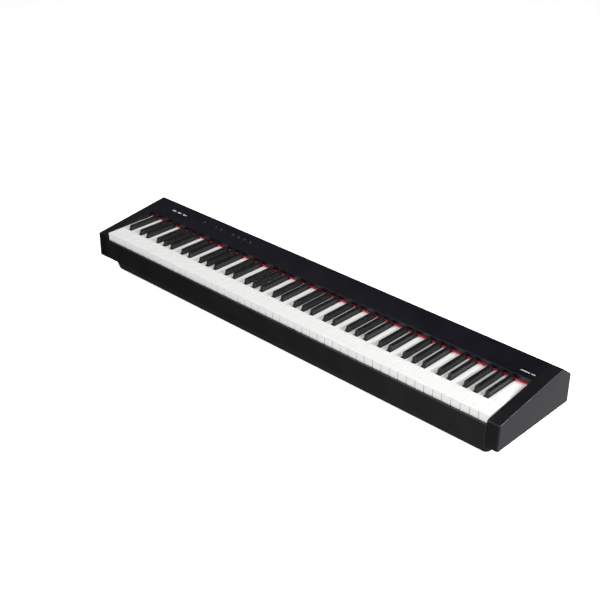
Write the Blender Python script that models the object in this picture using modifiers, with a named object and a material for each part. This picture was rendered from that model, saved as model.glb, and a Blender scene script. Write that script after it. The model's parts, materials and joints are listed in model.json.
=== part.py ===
"""Slab digital piano: 88 weighted keys between two end blocks, over a recessed tray.

Metres, +Z up. The origin is on the floor under the middle of the case. +X runs along the
keyboard from the lowest note to the highest, and +Y runs from the player to the rear.
"""

import math

import bmesh
import bpy
from mathutils import Matrix, Vector

# ---------------------------------------------------------------- driving dimensions
# Keyboard
WHITE_COUNT = 52
KEY_PITCH = 0.0235            # one white key and its gap
KEY_GAP = 0.0009
WHITE_LENGTH = 0.150          # front edge to the panel's front wall
HEAD_LENGTH = 0.050           # full-width front part of a white key
WHITE_HEIGHT = 0.020
BLACK_WIDTH = 0.0119
BLACK_TOP_WIDTH = 0.0096
BLACK_HEIGHT = 0.0115         # above the white keys
BLACK_FRONT_SLOPE = 0.0065
BLACK_REAR_GAP = 0.003        # cap's rear end to the panel's front wall
BLACK_STICK_WIDTH = 0.0095
PAIR_OFFSET = 0.0020          # C sharp and D sharp lean away from each other
TRIO_OFFSET = 0.0037          # so do F sharp and A sharp
STICK_WIDTH = 0.0080          # key stick under the panel
STICK_HEIGHT = 0.0105
PIVOT_DEPTH = 0.015           # pivot rod below the white keys' tops
PIVOT_BEHIND_WALL = 0.062     # pivot rod behind the panel's front wall
KEY_DIP = 0.010               # travel of a white key's front edge
INDIVIDUAL_OCTAVE = 4         # this octave's keys and hammers are separate pieces

# Case
END_BLOCK_WIDTH = 0.0323
END_BLOCK_GAP = 0.0015        # keys to end block
RAIL_OVERHANG = 0.0062        # front rail's face in front of the keys
RAIL_THICKNESS = 0.005
RAIL_TOP_DROP = 0.0185        # rail's top edge below the white keys' tops
CASE_BELOW_KEYS = 0.0713
ARM_FRONT_DROP = 0.008        # arm's front end below the white keys' tops
PANEL_DEPTH = 0.071           # front wall to rear edge, measured level
PANEL_RISE = 0.0243           # rear edge above the white keys' tops
REAR_SLOPE_DEPTH = 0.0347
REAR_SLOPE_DROP = 0.0261
SHELL = 0.003
WALL_FOOT_GAP = 0.0016        # panel's front wall above the white keys
FELT_STRIP = (0.0012, 0.0040)  # thickness and height of the red strip at the wall's foot
TRAY_DEPTH = 0.0384
TRAY_INSET_X = 0.0230
TRAY_INSET_Y = 0.0205
TRAY_TAPER_X = 0.0180
TRAY_TAPER_Y = 0.0055
TRAY_CORNER = 0.012
TRAY_WALL = 0.0025
SLOT_COUNT = 7
SLOT_PITCH = 0.011
SLOT_WIDTH = 0.0035
FOOT_HEIGHT = 0.0040
FOOT_RADIUS = 0.012
FOOT_INSET = (0.060, 0.032)   # from the tray floor's edges
CHASSIS_THICKNESS = 0.002
FIT_GAP = 0.0003              # between pieces that touch

# Action
ROD_RADIUS = 0.0025
ROD_IN_BLOCK = 0.011
BORE_CLEARANCE = 0.0004
HAMMER_PIVOT_Y = 0.090        # behind the keys' front edges
HAMMER_PIVOT_DEPTH = 0.046
HAMMER_WIDTH = 0.007
PUSHER_Y = 0.060
PUSHER_LENGTH = 0.0035
PUSHER_DROP = 0.038           # pusher's foot below the white keys' tops
HAMMER_REACH = 0.106          # pivot to the weight's rear end
HAMMER_BOSS = 0.007
HAMMER_PAD_MARGIN = 0.0060    # pad beyond its pusher
WEIGHT_LENGTH = 0.046
WEIGHT_HEIGHT = 0.0095
PUSH_GAP = 0.0006             # pusher to hammer
FRAME_PLATE = 0.003
REST_FELT = 0.003
STOP_FELT = 0.0045
STOP_Y = (0.020, 0.034)       # stop felt, behind the keys' front edges
CONTACT_Y = (0.105, 0.138)    # contact board, likewise
CONTACT_GAP = 0.003           # lowest key underside to the contact board
POST_WIDTH = 0.006
POST_X = (-0.55, -0.31, -0.11, 0.13, 0.31, 0.55)

# Controls, along the panel from the left end of the keyboard
CONTROL_LINE = 0.038          # behind the panel's front wall
POWER_X = 0.163
PAIR_X = 0.2065
ROW_X = 0.272
BUTTON_SIZE = (0.0170, 0.0080)
BUTTON_SPACING = 0.0043        # between neighbours
POWER_SIZE = (0.0105, 0.0080)
BUTTON_PROUD = 0.0016
BUTTON_SIDE_GAP = 0.0004
BUTTON_FLANGE = 0.0015
BUTTON_STEM = 0.0040          # below the panel's underside
BOARD_GAP = 0.0015
BOARD_THICKNESS = 0.0016
PANEL_BOARD_DEPTH = 0.030
MAIN_BOARD = (-0.16, 0.16, -0.055, 0.065)
MAIN_BOARD_LIFT = 0.003
BOSS_WIDTH = 0.006

# Sockets and speakers
SOCKET_BORE = 0.0033
SOCKET_BARREL = 0.0058
SOCKET_FLANGE = 0.0075
SOCKET_LIP = 0.0012
SOCKET_LENGTH = 0.014
HEADPHONE_X = (0.0715, 0.0940)
HEADPHONE_LIFT = 0.0131       # above the tray's underside
REAR_SOCKET_DEPTH = 0.045     # rear sockets below the white keys' tops
DC_X, DATA_X, PEDAL_X = 0.200, 0.250, 0.300
DC_BODY = (0.0140, 0.0120)
DC_BORE = 0.0040
DATA_BODY = (0.0150, 0.0140)
DATA_MOUTH = (0.0122, 0.0110)
PORT_DEPTH = 0.013
PORT_HOLLOW = 0.010
SPEAKER_INSET = 0.150         # from each end of the keyboard
SPEAKER_RADIUS = 0.045
SPEAKER_HEIGHT = 0.026

ROUND = 24
ROUND_SMALL = 8
FLAT_ANGLE = 0.001            # faces that meet below this angle become one

# ---------------------------------------------------------------- places worked out from them
KEYBOARD = WHITE_COUNT * KEY_PITCH
LEFT = -KEYBOARD / 2
HALF_INNER = KEYBOARD / 2 + END_BLOCK_GAP
HALF_WIDTH = HALF_INNER + END_BLOCK_WIDTH
CASE_DEPTH = RAIL_OVERHANG + WHITE_LENGTH + PANEL_DEPTH + REAR_SLOPE_DEPTH
KEY_FRONT = -CASE_DEPTH / 2 + RAIL_OVERHANG
WALL_Y = KEY_FRONT + WHITE_LENGTH
PANEL_REAR = WALL_Y + PANEL_DEPTH
FRONT_Y = -CASE_DEPTH / 2
REAR_Y = CASE_DEPTH / 2
CASE_BOTTOM = FOOT_HEIGHT + TRAY_DEPTH
KEY_TOP = CASE_BOTTOM + CASE_BELOW_KEYS
SLOPE = math.atan2(PANEL_RISE + ARM_FRONT_DROP, PANEL_REAR - FRONT_Y)
PIVOT_Y = WALL_Y + PIVOT_BEHIND_WALL
PIVOT_Z = KEY_TOP - PIVOT_DEPTH
STICK_REAR = PIVOT_Y + 0.006
STICK_STEP_Y = PIVOT_Y - 0.032
BLACK_BAR = (PIVOT_Y - 0.026, PIVOT_Y - 0.012)
BLACK_BAR_HEIGHT = 0.006
WHITE_BAR = (STICK_REAR + 0.0015, STICK_REAR + 0.010)
STICK_TOP = KEY_TOP - WHITE_HEIGHT + STICK_HEIGHT
DIP_ANGLE = KEY_DIP / (WHITE_LENGTH + PIVOT_BEHIND_WALL)
HAMMER_Y = KEY_FRONT + HAMMER_PIVOT_Y
HAMMER_Z = KEY_TOP - HAMMER_PIVOT_DEPTH
CAP_FOOT = KEY_TOP - STICK_TOP + 0.0015
CHASSIS_TOP = CASE_BOTTOM + CHASSIS_THICKNESS
FRAME_TOP = CHASSIS_TOP + FIT_GAP + FRAME_PLATE
TRAY_TOP = CASE_BOTTOM - FIT_GAP
TRAY_FLOOR = FOOT_HEIGHT + TRAY_WALL
TRAY_HALF = (HALF_WIDTH - TRAY_INSET_X, CASE_DEPTH / 2 - TRAY_INSET_Y)
REAR_SLOPE = math.atan2(REAR_SLOPE_DROP, REAR_SLOPE_DEPTH)
BUTTON_PITCH = BUTTON_SIZE[0] + BUTTON_SPACING

BLACK_AFTER = {"c": -PAIR_OFFSET, "d": PAIR_OFFSET, "f": -TRIO_OFFSET, "g": 0.0, "a": TRIO_OFFSET}

COLLECTION = "digital_piano"
CUTTERS = "digital_piano_cutters"


# ---------------------------------------------------------------- scene and materials
def clear_scene():
    """Removes what is in the scene and makes the two collections."""
    for item in list(bpy.data.objects):
        bpy.data.objects.remove(item)
    for name in (COLLECTION, CUTTERS):
        old = bpy.data.collections.get(name)
        if old:
            bpy.data.collections.remove(old)
        bpy.context.scene.collection.children.link(bpy.data.collections.new(name))


def make_material(name, colour, roughness, metallic=0.0):
    """A Principled material."""
    made = bpy.data.materials.new(name)
    made.use_nodes = True
    shader = made.node_tree.nodes["Principled BSDF"]
    shader.inputs["Base Color"].default_value = (*colour, 1.0)
    shader.inputs["Roughness"].default_value = roughness
    shader.inputs["Metallic"].default_value = metallic
    return made


def make_materials():
    """Every finish of the instrument, by name."""
    finishes = {
        "case_black": ((0.009, 0.009, 0.010), 0.45, 0.0),
        "panel_black": ((0.008, 0.008, 0.010), 0.40, 0.0),
        "tray_black": ((0.012, 0.012, 0.012), 0.6, 0.0),
        "white_key": ((0.86, 0.85, 0.82), 0.3, 0.0),
        "black_key": ((0.012, 0.012, 0.013), 0.35, 0.0),
        "button_black": ((0.02, 0.02, 0.022), 0.4, 0.0),
        "red_felt": ((0.45, 0.01, 0.03), 0.95, 0.0),
        "grey_felt": ((0.25, 0.25, 0.25), 0.95, 0.0),
        "steel": ((0.55, 0.55, 0.56), 0.35, 1.0),
        "frame_plastic": ((0.06, 0.06, 0.06), 0.55, 0.0),
        "circuit_green": ((0.02, 0.15, 0.06), 0.5, 0.0),
        "socket_metal": ((0.6, 0.6, 0.6), 0.3, 1.0),
        "socket_black": ((0.02, 0.02, 0.02), 0.5, 0.0),
        "speaker_black": ((0.03, 0.03, 0.03), 0.6, 0.0),
        "foot_rubber": ((0.03, 0.03, 0.03), 0.85, 0.0),
    }
    return {name: make_material(name, *values) for name, values in finishes.items()}


# ---------------------------------------------------------------- shape helpers
def place(name, mesh, finish=None, location=(0, 0, 0), rotation=(0, 0, 0), cutter=False):
    """An object from a mesh, in the model's collection or among the cutters."""
    made = bpy.data.objects.new(name, mesh)
    made.location = location
    made.rotation_euler = rotation
    bpy.data.collections[CUTTERS if cutter else COLLECTION].objects.link(made)
    if cutter:
        made.hide_render = True
        made.display_type = "WIRE"
    if finish and not mesh.materials:
        mesh.materials.append(finish)
    return made


def box_mesh(low, high):
    """A box between two corners."""
    low, high = Vector(low), Vector(high)
    shape = bmesh.new()
    size = high - low
    spread = Matrix.Translation((low + high) / 2) @ Matrix.Diagonal((*size, 1.0))
    bmesh.ops.create_cube(shape, size=1.0, matrix=spread)
    mesh = bpy.data.meshes.new("box")
    shape.to_mesh(mesh)
    shape.free()
    return mesh


def rod_mesh(radius, length, steps):
    """A cylinder along X from x = 0."""
    shape = bmesh.new()
    turn = Matrix.Translation((length / 2, 0, 0)) @ Matrix.Rotation(math.pi / 2, 4, "Y")
    bmesh.ops.create_cone(shape, cap_ends=True, segments=steps, radius1=radius, radius2=radius,
                          depth=length, matrix=turn)
    mesh = bpy.data.meshes.new("rod")
    shape.to_mesh(mesh)
    shape.free()
    return mesh


def outline_mesh(points, thickness):
    """A flat outline in XY, extruded from z = 0 to its thickness."""
    curve = bpy.data.curves.new("outline", "CURVE")
    curve.dimensions = "2D"
    curve.fill_mode = "BOTH"
    curve.extrude = thickness / 2
    line = curve.splines.new("POLY")
    line.points.add(len(points) - 1)
    for point, (x, y) in zip(line.points, points):
        point.co = (x, y, 0, 1)
    line.use_cyclic_u = True
    guide = bpy.data.objects.new("outline", curve)
    bpy.context.scene.collection.objects.link(guide)
    bpy.context.view_layer.update()
    mesh = bpy.data.meshes.new_from_object(guide.evaluated_get(bpy.context.evaluated_depsgraph_get()))
    bpy.data.objects.remove(guide)
    shape = bmesh.new()
    shape.from_mesh(mesh)
    bmesh.ops.remove_doubles(shape, verts=shape.verts, dist=1e-6)
    bmesh.ops.dissolve_limit(shape, angle_limit=FLAT_ANGLE, verts=shape.verts, edges=shape.edges)
    bmesh.ops.translate(shape, verts=shape.verts, vec=(0, 0, thickness / 2))
    bmesh.ops.recalc_face_normals(shape, faces=shape.faces)
    shape.to_mesh(mesh)
    shape.free()
    return mesh


def side_prism(name, profile, x_low, x_high, finish, cutter=False):
    """A (y, z) profile extruded along X."""
    mesh = outline_mesh(profile, x_high - x_low)
    turn = (math.pi / 2, 0, math.pi / 2)
    return place(name, mesh, finish, location=(x_low, 0, 0), rotation=turn, cutter=cutter)


def box(name, low, high, finish, cutter=False):
    """A box object between two corners, with its origin at its centre."""
    low, high = Vector(low), Vector(high)
    centre = (low + high) / 2
    return place(name, box_mesh(low - centre, high - centre), finish, location=centre, cutter=cutter)


def turned(name, profile, finish, location, rotation=(0, 0, 0), steps=ROUND, closed=False):
    """A (radius, z) profile turned about its own Z axis. The profile runs down its outer side."""
    mesh = bpy.data.meshes.new(name)
    edges = [(i, i + 1) for i in range(len(profile) - 1)]
    if closed:
        edges.append((len(profile) - 1, 0))
    mesh.from_pydata([(radius, 0, height) for radius, height in profile], edges, [])
    made = place(name, mesh, finish, location=location, rotation=rotation)
    screw = made.modifiers.new("turn", "SCREW")
    screw.steps = screw.render_steps = steps
    screw.use_merge_vertices = True
    screw.merge_threshold = 0.00002
    screw.use_normal_calculate = False
    return made


def combine(target, other, operation):
    """Boolean of one object with another."""
    step = target.modifiers.new(operation.lower(), "BOOLEAN")
    step.operation = operation
    step.solver = "EXACT"
    step.object = other


def gather(target, name, pieces):
    """Boolean union of the target with a whole collection of pieces."""
    group = bpy.data.collections.new(name)
    bpy.data.collections[CUTTERS].children.link(group)
    for piece in pieces:
        bpy.data.collections[CUTTERS].objects.unlink(piece)
        group.objects.link(piece)
    step = target.modifiers.new("gather", "BOOLEAN")
    step.operation = "UNION"
    step.solver = "EXACT"
    step.operand_type = "COLLECTION"
    step.collection = group


def cut(target, *cutters):
    """Cuts each cutter out of the target."""
    for cutter in cutters:
        combine(target, cutter, "DIFFERENCE")


def soften(target, width, segments=2):
    """Rounds the target's sharp edges."""
    step = target.modifiers.new("soften", "BEVEL")
    step.width = width
    step.segments = segments
    step.limit_method = "ANGLE"
    step.angle_limit = math.radians(30)


# ---------------------------------------------------------------- where the keys are
def note_name(index):
    """The letter of a white key, counted from the lowest."""
    return "abcdefg"[index % 7]


def note_octave(index):
    """The octave number of a white key. It changes at each C."""
    return (index + 5) // 7


def black_centre(index):
    """The middle of the black key to the right of a white key, or None."""
    if not 0 <= index < WHITE_COUNT - 1 or note_name(index) not in BLACK_AFTER:
        return None
    return LEFT + (index + 1) * KEY_PITCH + BLACK_AFTER[note_name(index)]


def white_sides(index):
    """Left and right sides of a white key's head, then of its tail between the black keys."""
    head = (LEFT + index * KEY_PITCH + KEY_GAP / 2, LEFT + (index + 1) * KEY_PITCH - KEY_GAP / 2)
    room = BLACK_WIDTH / 2 + KEY_GAP
    before, after = black_centre(index - 1), black_centre(index)
    tail_left = head[0] if before is None else before + room
    tail_right = head[1] if after is None else after - room
    return head, (tail_left, tail_right)


def white_finger(index, rear):
    """The plan of a white key as a path from the left of its stick, round its front, to the right."""
    (left, right), (tail_left, tail_right) = white_sides(index)
    head, shoulder = KEY_FRONT + HEAD_LENGTH, WALL_Y + 0.006
    middle = (tail_left + tail_right) / 2
    stick_left, stick_right = middle - STICK_WIDTH / 2, middle + STICK_WIDTH / 2
    path = [(stick_left, rear), (stick_left, shoulder), (tail_left, shoulder)]
    path += [(tail_left, head), (left, head)] if tail_left > left else []
    path += [(left, KEY_FRONT), (right, KEY_FRONT)]
    path += [(right, head), (tail_right, head)] if tail_right < right else []
    return path + [(tail_right, shoulder), (stick_right, shoulder), (stick_right, rear)]


def individual(index):
    """Whether this white key, and the black key after it, are separate pieces."""
    return note_octave(index) == INDIVIDUAL_OCTAVE


# ---------------------------------------------------------------- keys
def shared_key_cutters():
    """The step that lowers the sticks under the black keys' bar, and the pivot rod's bore."""
    length = KEYBOARD + 2 * KEY_PITCH
    bore = place("key_bore", rod_mesh(ROD_RADIUS + BORE_CLEARANCE, length, ROUND_SMALL),
                 location=(-length / 2, PIVOT_Y, PIVOT_Z), cutter=True)
    step = box("stick_step", (-length / 2, STICK_STEP_Y, STICK_TOP),
               (length / 2, WHITE_BAR[1] + BLACK_HEIGHT, KEY_TOP + BLACK_HEIGHT), None, cutter=True)
    return step, bore


def on_pivot(name, mesh, lift, finish):
    """An object with its origin on the pivot axis. Its mesh has its true y, and lift is its base's z."""
    mesh.transform(Matrix.Translation((0, -PIVOT_Y, lift - PIVOT_Z)))
    return place(name, mesh, finish, location=(0, PIVOT_Y, PIVOT_Z))


def pusher(label, centre):
    """The lug under a separate key that presses its hammer."""
    half, middle = HAMMER_WIDTH / 2, KEY_FRONT + PUSHER_Y
    return box(f"pusher_{label}", (centre - half, middle - PUSHER_LENGTH / 2, KEY_TOP - PUSHER_DROP),
               (centre + half, middle + PUSHER_LENGTH / 2, STICK_TOP - STICK_HEIGHT / 2), None, cutter=True)


def white_middle(index):
    """The middle of a white key's tail, where its stick and pusher are."""
    tail = white_sides(index)[1]
    return (tail[0] + tail[1]) / 2


def make_white_keys(finish, cutters):
    """One octave of separate white keys, and the rest as one row joined behind the pivot."""
    foot = KEY_TOP - WHITE_HEIGHT
    for index in filter(individual, range(WHITE_COUNT)):
        label = f"{note_name(index)}{note_octave(index)}"
        outline = outline_mesh(white_finger(index, STICK_REAR), WHITE_HEIGHT)
        key = on_pivot(f"white_key_{label}", outline, foot, finish)
        cut(key, *cutters)
        combine(key, pusher(label, white_middle(index)), "UNION")
    fingers = []
    for index in range(WHITE_COUNT):
        if not individual(index):
            outline = outline_mesh(white_finger(index, (WHITE_BAR[0] + WHITE_BAR[1]) / 2), WHITE_HEIGHT)
            fingers.append(place(f"white_finger_{index}", outline, location=(0, 0, foot), cutter=True))
    ends = (white_middle(0) - STICK_WIDTH / 2, white_middle(WHITE_COUNT - 1) + STICK_WIDTH / 2)
    bar = box_mesh((ends[0], WHITE_BAR[0], 0), (ends[1], WHITE_BAR[1], STICK_HEIGHT))
    row = on_pivot("white_key_row", bar, foot, finish)
    gather(row, "white_fingers", fingers)
    cut(row, *cutters)


def black_cap(label, centre):
    """A black key's cap: a box whose top is narrower, with a sloping front."""
    front, rear = KEY_FRONT + HEAD_LENGTH + KEY_GAP / 2, WALL_Y - BLACK_REAR_GAP
    mesh = box_mesh((centre - BLACK_WIDTH / 2, front, KEY_TOP - CAP_FOOT),
                    (centre + BLACK_WIDTH / 2, rear, KEY_TOP + BLACK_HEIGHT))
    for vert in mesh.vertices:
        if vert.co.z > KEY_TOP:
            vert.co.x = centre + math.copysign(BLACK_TOP_WIDTH / 2, vert.co.x - centre)
            vert.co.y = max(vert.co.y, front + BLACK_FRONT_SLOPE)
    return place(f"black_cap_{label}", mesh, cutter=True)


def make_black_keys(finish, bore):
    """One octave of separate black keys, and the rest as one row joined above the white sticks."""
    centres = {index: black_centre(index) for index in range(WHITE_COUNT) if black_centre(index) is not None}
    front = KEY_FRONT + HEAD_LENGTH + 2 * KEY_GAP
    half = BLACK_STICK_WIDTH / 2
    foot = KEY_TOP - WALL_FOOT_GAP - BLACK_BAR_HEIGHT
    joined = []
    for index, centre in centres.items():
        label = f"{note_name(index)}_sharp_{note_octave(index)}"
        cap = black_cap(label, centre)
        if individual(index):
            stick = box_mesh((centre - half, front, 0), (centre + half, STICK_REAR, STICK_HEIGHT))
            key = on_pivot(f"black_key_{label}", stick, KEY_TOP - WHITE_HEIGHT, finish)
            combine(key, cap, "UNION")
            combine(key, pusher(label, centre), "UNION")
            cut(key, bore)
        else:
            arm_end = (centre + half, (BLACK_BAR[0] + BLACK_BAR[1]) / 2, foot + BLACK_BAR_HEIGHT)
            arm = box(f"black_arm_{label}", (centre - half, front, foot), arm_end, None, cutter=True)
            joined += [cap, arm]
    edge = max(abs(centre) for centre in centres.values()) + half
    bar = box_mesh((-edge, BLACK_BAR[0], 0), (edge, BLACK_BAR[1], BLACK_BAR_HEIGHT))
    gather(on_pivot("black_key_row", bar, foot, finish), "black_fingers", joined)


# ---------------------------------------------------------------- action
def dip_at(distance):
    """How far a pressed key's underside comes down, that far behind the keys' front edges."""
    return math.sin(DIP_ANGLE) * (PIVOT_Y - KEY_FRONT - distance)


def hammer_profile():
    """A hammer's side view about its pivot: pad in front, boss, arm, and weight at the rear."""
    pad_top = KEY_TOP - PUSHER_DROP - PUSH_GAP - HAMMER_Z
    pad_half = PUSHER_LENGTH / 2 + HAMMER_PAD_MARGIN
    pad_middle = PUSHER_Y - HAMMER_PIVOT_Y
    weight_low = FRAME_TOP + REST_FELT + 2 * FIT_GAP - HAMMER_Z
    weight_high = weight_low + WEIGHT_HEIGHT
    weight_front = HAMMER_REACH - WEIGHT_LENGTH
    boss = HAMMER_BOSS
    return [
        (pad_middle - pad_half, pad_top), (pad_middle + pad_half, pad_top), (-boss / 2, boss),
        (boss, boss / 2),
        (weight_front, weight_high + boss / 3), (HAMMER_REACH, weight_high), (HAMMER_REACH, weight_low),
        (weight_front, weight_low), (weight_front - boss / 2, weight_high - boss / 2),
        (boss, -boss / 2), (-boss / 2, -boss), (pad_middle + pad_half, pad_top - boss),
        (pad_middle - pad_half, pad_top - boss),
    ]


def make_hammers(plastic, steel, felt):
    """A weighted lever under each separate key, their shared rod, and the felt they rest on."""
    places = []
    for index in filter(individual, range(WHITE_COUNT)):
        places.append((f"{note_name(index)}{note_octave(index)}", white_middle(index)))
        if black_centre(index) is not None:
            places.append((f"{note_name(index)}_sharp_{note_octave(index)}", black_centre(index)))
    length = 2 * (HALF_INNER + ROD_IN_BLOCK)
    place("hammer_pivot_rod", rod_mesh(ROD_RADIUS, length, ROUND_SMALL), steel,
          location=(-length / 2, HAMMER_Y, HAMMER_Z))
    bore = place("hammer_bore", rod_mesh(ROD_RADIUS + BORE_CLEARANCE, length, ROUND_SMALL),
                 location=(-length / 2, HAMMER_Y, HAMMER_Z), cutter=True)
    lever = outline_mesh(hammer_profile(), HAMMER_WIDTH)
    lever.transform(Matrix.Rotation(math.pi / 2, 4, "Z") @ Matrix.Rotation(math.pi / 2, 4, "X"))
    for label, centre in places:
        left = centre - HAMMER_WIDTH / 2
        hammer = place(f"hammer_{label}", lever, plastic, location=(left, HAMMER_Y, HAMMER_Z))
        cut(hammer, bore)
    rest_low = FRAME_TOP + FIT_GAP
    ends = (places[0][1] - KEY_PITCH / 2, places[-1][1] + KEY_PITCH / 2)
    box("hammer_rest_felt", (ends[0], HAMMER_Y + HAMMER_REACH - WEIGHT_LENGTH, rest_low),
        (ends[1], HAMMER_Y + HAMMER_REACH, rest_low + REST_FELT), felt)


def make_key_frame(plastic, felt, board, steel):
    """The frame under the keys, their stop felt, contact board and pivot rod."""
    half = HALF_INNER - FIT_GAP
    base = FRAME_TOP - FRAME_PLATE
    frame = box("key_frame", (-half, KEY_FRONT + STOP_Y[0] / 2, base), (half, STICK_REAR, FRAME_TOP), plastic)
    stop_top = KEY_TOP - WHITE_HEIGHT - dip_at(STOP_Y[0]) - FIT_GAP
    rib_top = stop_top - STOP_FELT - FIT_GAP
    rib = box("stop_rib", (-half, KEY_FRONT + STOP_Y[0] + FRAME_PLATE, FRAME_TOP - FRAME_PLATE / 2),
              (half, KEY_FRONT + STOP_Y[1] - FRAME_PLATE, rib_top), None, cutter=True)
    combine(frame, rib, "UNION")
    board_top = KEY_TOP - WHITE_HEIGHT - dip_at(CONTACT_Y[0]) - CONTACT_GAP
    middle = KEY_FRONT + (CONTACT_Y[0] + CONTACT_Y[1]) / 2
    half_post = POST_WIDTH / 2
    post_top = board_top - BOARD_THICKNESS - FIT_GAP
    for number, x in enumerate(POST_X):
        post = box(f"post_{number}", (x - half_post, middle - half_post, FRAME_TOP - FRAME_PLATE / 2),
                   (x + half_post, middle + half_post, post_top), None, cutter=True)
        combine(frame, post, "UNION")
    box("key_stop_felt", (-KEYBOARD / 2, KEY_FRONT + STOP_Y[0], stop_top - STOP_FELT),
        (KEYBOARD / 2, KEY_FRONT + STOP_Y[1], stop_top), felt)
    box("contact_board", (-KEYBOARD / 2, KEY_FRONT + CONTACT_Y[0], board_top - BOARD_THICKNESS),
        (KEYBOARD / 2, KEY_FRONT + CONTACT_Y[1], board_top), board)
    length = 2 * (HALF_INNER + ROD_IN_BLOCK)
    place("key_pivot_rod", rod_mesh(ROD_RADIUS, length, ROUND_SMALL), steel,
          location=(-length / 2, PIVOT_Y, PIVOT_Z))


# ---------------------------------------------------------------- case
def surface_z(y):
    """Height of the sloping top of the arms and the control panel."""
    return KEY_TOP - ARM_FRONT_DROP + (y - FRONT_Y) * math.tan(SLOPE)


def rear_slope_z(y):
    """Height of the slope behind the control panel."""
    return KEY_TOP + PANEL_RISE - (y - PANEL_REAR) * math.tan(REAR_SLOPE)


def case_profile(inset, bottom):
    """The case's side view, moved in by a wall thickness on every side but the bottom."""
    lower, rear_lower = inset / math.cos(SLOPE), inset / math.cos(REAR_SLOPE)
    ridge = PANEL_REAR + (lower - rear_lower) / (math.tan(SLOPE) + math.tan(REAR_SLOPE))
    front, rear = FRONT_Y + inset, REAR_Y - inset
    return [(front, bottom), (front, surface_z(front) - lower), (ridge, surface_z(ridge) - lower),
            (rear, rear_slope_z(rear) - rear_lower), (rear, bottom)]


def make_end_block(name, inner, outer, finish):
    """A hollow end block between its inner and outer faces, open below, with the two rods' bores."""
    low, high = min(inner, outer), max(inner, outer)
    block = side_prism(name, case_profile(0, CASE_BOTTOM), low, high, finish)
    soften(block, SHELL / 2)
    pocket = side_prism(f"{name}_pocket", case_profile(SHELL, CASE_BOTTOM - SHELL), low + SHELL, high - SHELL,
                        None, cutter=True)
    cut(block, pocket)
    for label, y, z in (("key", PIVOT_Y, PIVOT_Z), ("hammer", HAMMER_Y, HAMMER_Z)):
        wall = place(f"{name}_{label}_bore", rod_mesh(ROD_RADIUS + BORE_CLEARANCE, 3 * SHELL, ROUND_SMALL),
                     location=(inner - 1.5 * SHELL, y, z), cutter=True)
        cut(block, wall)


def controls():
    """Each button's name, middle along X and size."""
    row = [("power_button", POWER_X, POWER_SIZE)]
    row += [(f"volume_button_{i + 1}", PAIR_X + i * BUTTON_PITCH, BUTTON_SIZE) for i in range(2)]
    row += [(f"function_button_{i + 1}", ROW_X + i * BUTTON_PITCH, BUTTON_SIZE) for i in range(4)]
    return [(name, LEFT + x, size) for name, x, size in row]


def panel_place(x):
    """The point of the control panel's surface on the buttons' line."""
    y = WALL_Y + CONTROL_LINE
    return x, y, surface_z(y)


def slab(name, size, low, high, x, finish, cutter=False):
    """A box square to the control panel, between two depths below (-) or above (+) its surface."""
    half_x, half_y = size[0] / 2, size[1] / 2
    mesh = box_mesh((-half_x, -half_y, low), (half_x, half_y, high))
    return place(name, mesh, finish, location=panel_place(x), rotation=(SLOPE, 0, 0), cutter=cutter)


def make_control_panel(finish, felt):
    """The top cover between the arms, with its front wall, its button holes and the felt at its foot."""
    foot = KEY_TOP + WALL_FOOT_GAP
    lower = SHELL / math.cos(SLOPE)
    inner = WALL_Y + SHELL
    profile = [(WALL_Y, foot), (WALL_Y, surface_z(WALL_Y)), (PANEL_REAR, surface_z(PANEL_REAR)),
               (PANEL_REAR, surface_z(PANEL_REAR) - lower), (inner, surface_z(inner) - lower), (inner, foot)]
    half = HALF_INNER - FIT_GAP
    panel = side_prism("control_panel", profile, -half, half, finish)
    for name, x, size in controls():
        hole = (size[0] + 2 * BUTTON_SIDE_GAP, size[1] + 2 * BUTTON_SIDE_GAP)
        cut(panel, slab(f"{name}_hole", hole, -2 * SHELL, SHELL, x, None, cutter=True))
    box("wall_felt", (-KEYBOARD / 2, WALL_Y - FIT_GAP - FELT_STRIP[0], KEY_TOP + FIT_GAP),
        (KEYBOARD / 2, WALL_Y - FIT_GAP, KEY_TOP + FIT_GAP + FELT_STRIP[1]), felt)


def make_buttons(finish, board):
    """The seven push buttons and the board behind them."""
    for name, x, size in controls():
        button = slab(name, size, -SHELL - BUTTON_STEM, BUTTON_PROUD, x, finish)
        wide = (size[0] + 2 * BUTTON_FLANGE, size[1] + 2 * BUTTON_FLANGE)
        flange = slab(f"{name}_flange", wide, -SHELL - FIT_GAP - BUTTON_FLANGE, -SHELL - FIT_GAP, x, None,
                      cutter=True)
        combine(button, flange, "UNION")
    places = [x for _, x, _ in controls()]
    width = places[-1] - places[0] + 2 * BUTTON_PITCH
    top = -SHELL - BUTTON_STEM - BOARD_GAP
    slab("panel_board", (width, PANEL_BOARD_DEPTH), top - BOARD_THICKNESS, top,
         (places[0] + places[-1]) / 2, board)


def make_rear_cover(finish):
    """The rear slope and rear wall, with the holes for the three rear sockets."""
    outer = case_profile(0, CASE_BOTTOM)
    top_y = PANEL_REAR + FIT_GAP
    lower = SHELL / math.cos(REAR_SLOPE)
    inner = REAR_Y - SHELL
    profile = [(top_y, rear_slope_z(top_y)), outer[3], outer[4], (inner, CASE_BOTTOM),
               (inner, rear_slope_z(inner) - lower), (top_y, rear_slope_z(top_y) - lower)]
    half = HALF_INNER - FIT_GAP
    cover = side_prism("rear_cover", profile, -half, half, finish)
    z = KEY_TOP - REAR_SOCKET_DEPTH
    for name, x, size in (("dc", DC_X, DC_BODY), ("data", DATA_X, DATA_BODY)):
        wide, high = size[0] / 2 + FIT_GAP, size[1] / 2 + FIT_GAP
        cut(cover, box(f"{name}_window", (LEFT + x - wide, inner - SHELL, z - high),
                       (LEFT + x + wide, REAR_Y + SHELL, z + high), None, cutter=True))
    cut(cover, round_cutter("pedal_window", SOCKET_FLANGE + FIT_GAP, (LEFT + PEDAL_X, REAR_Y, z), 2 * SHELL))


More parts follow.
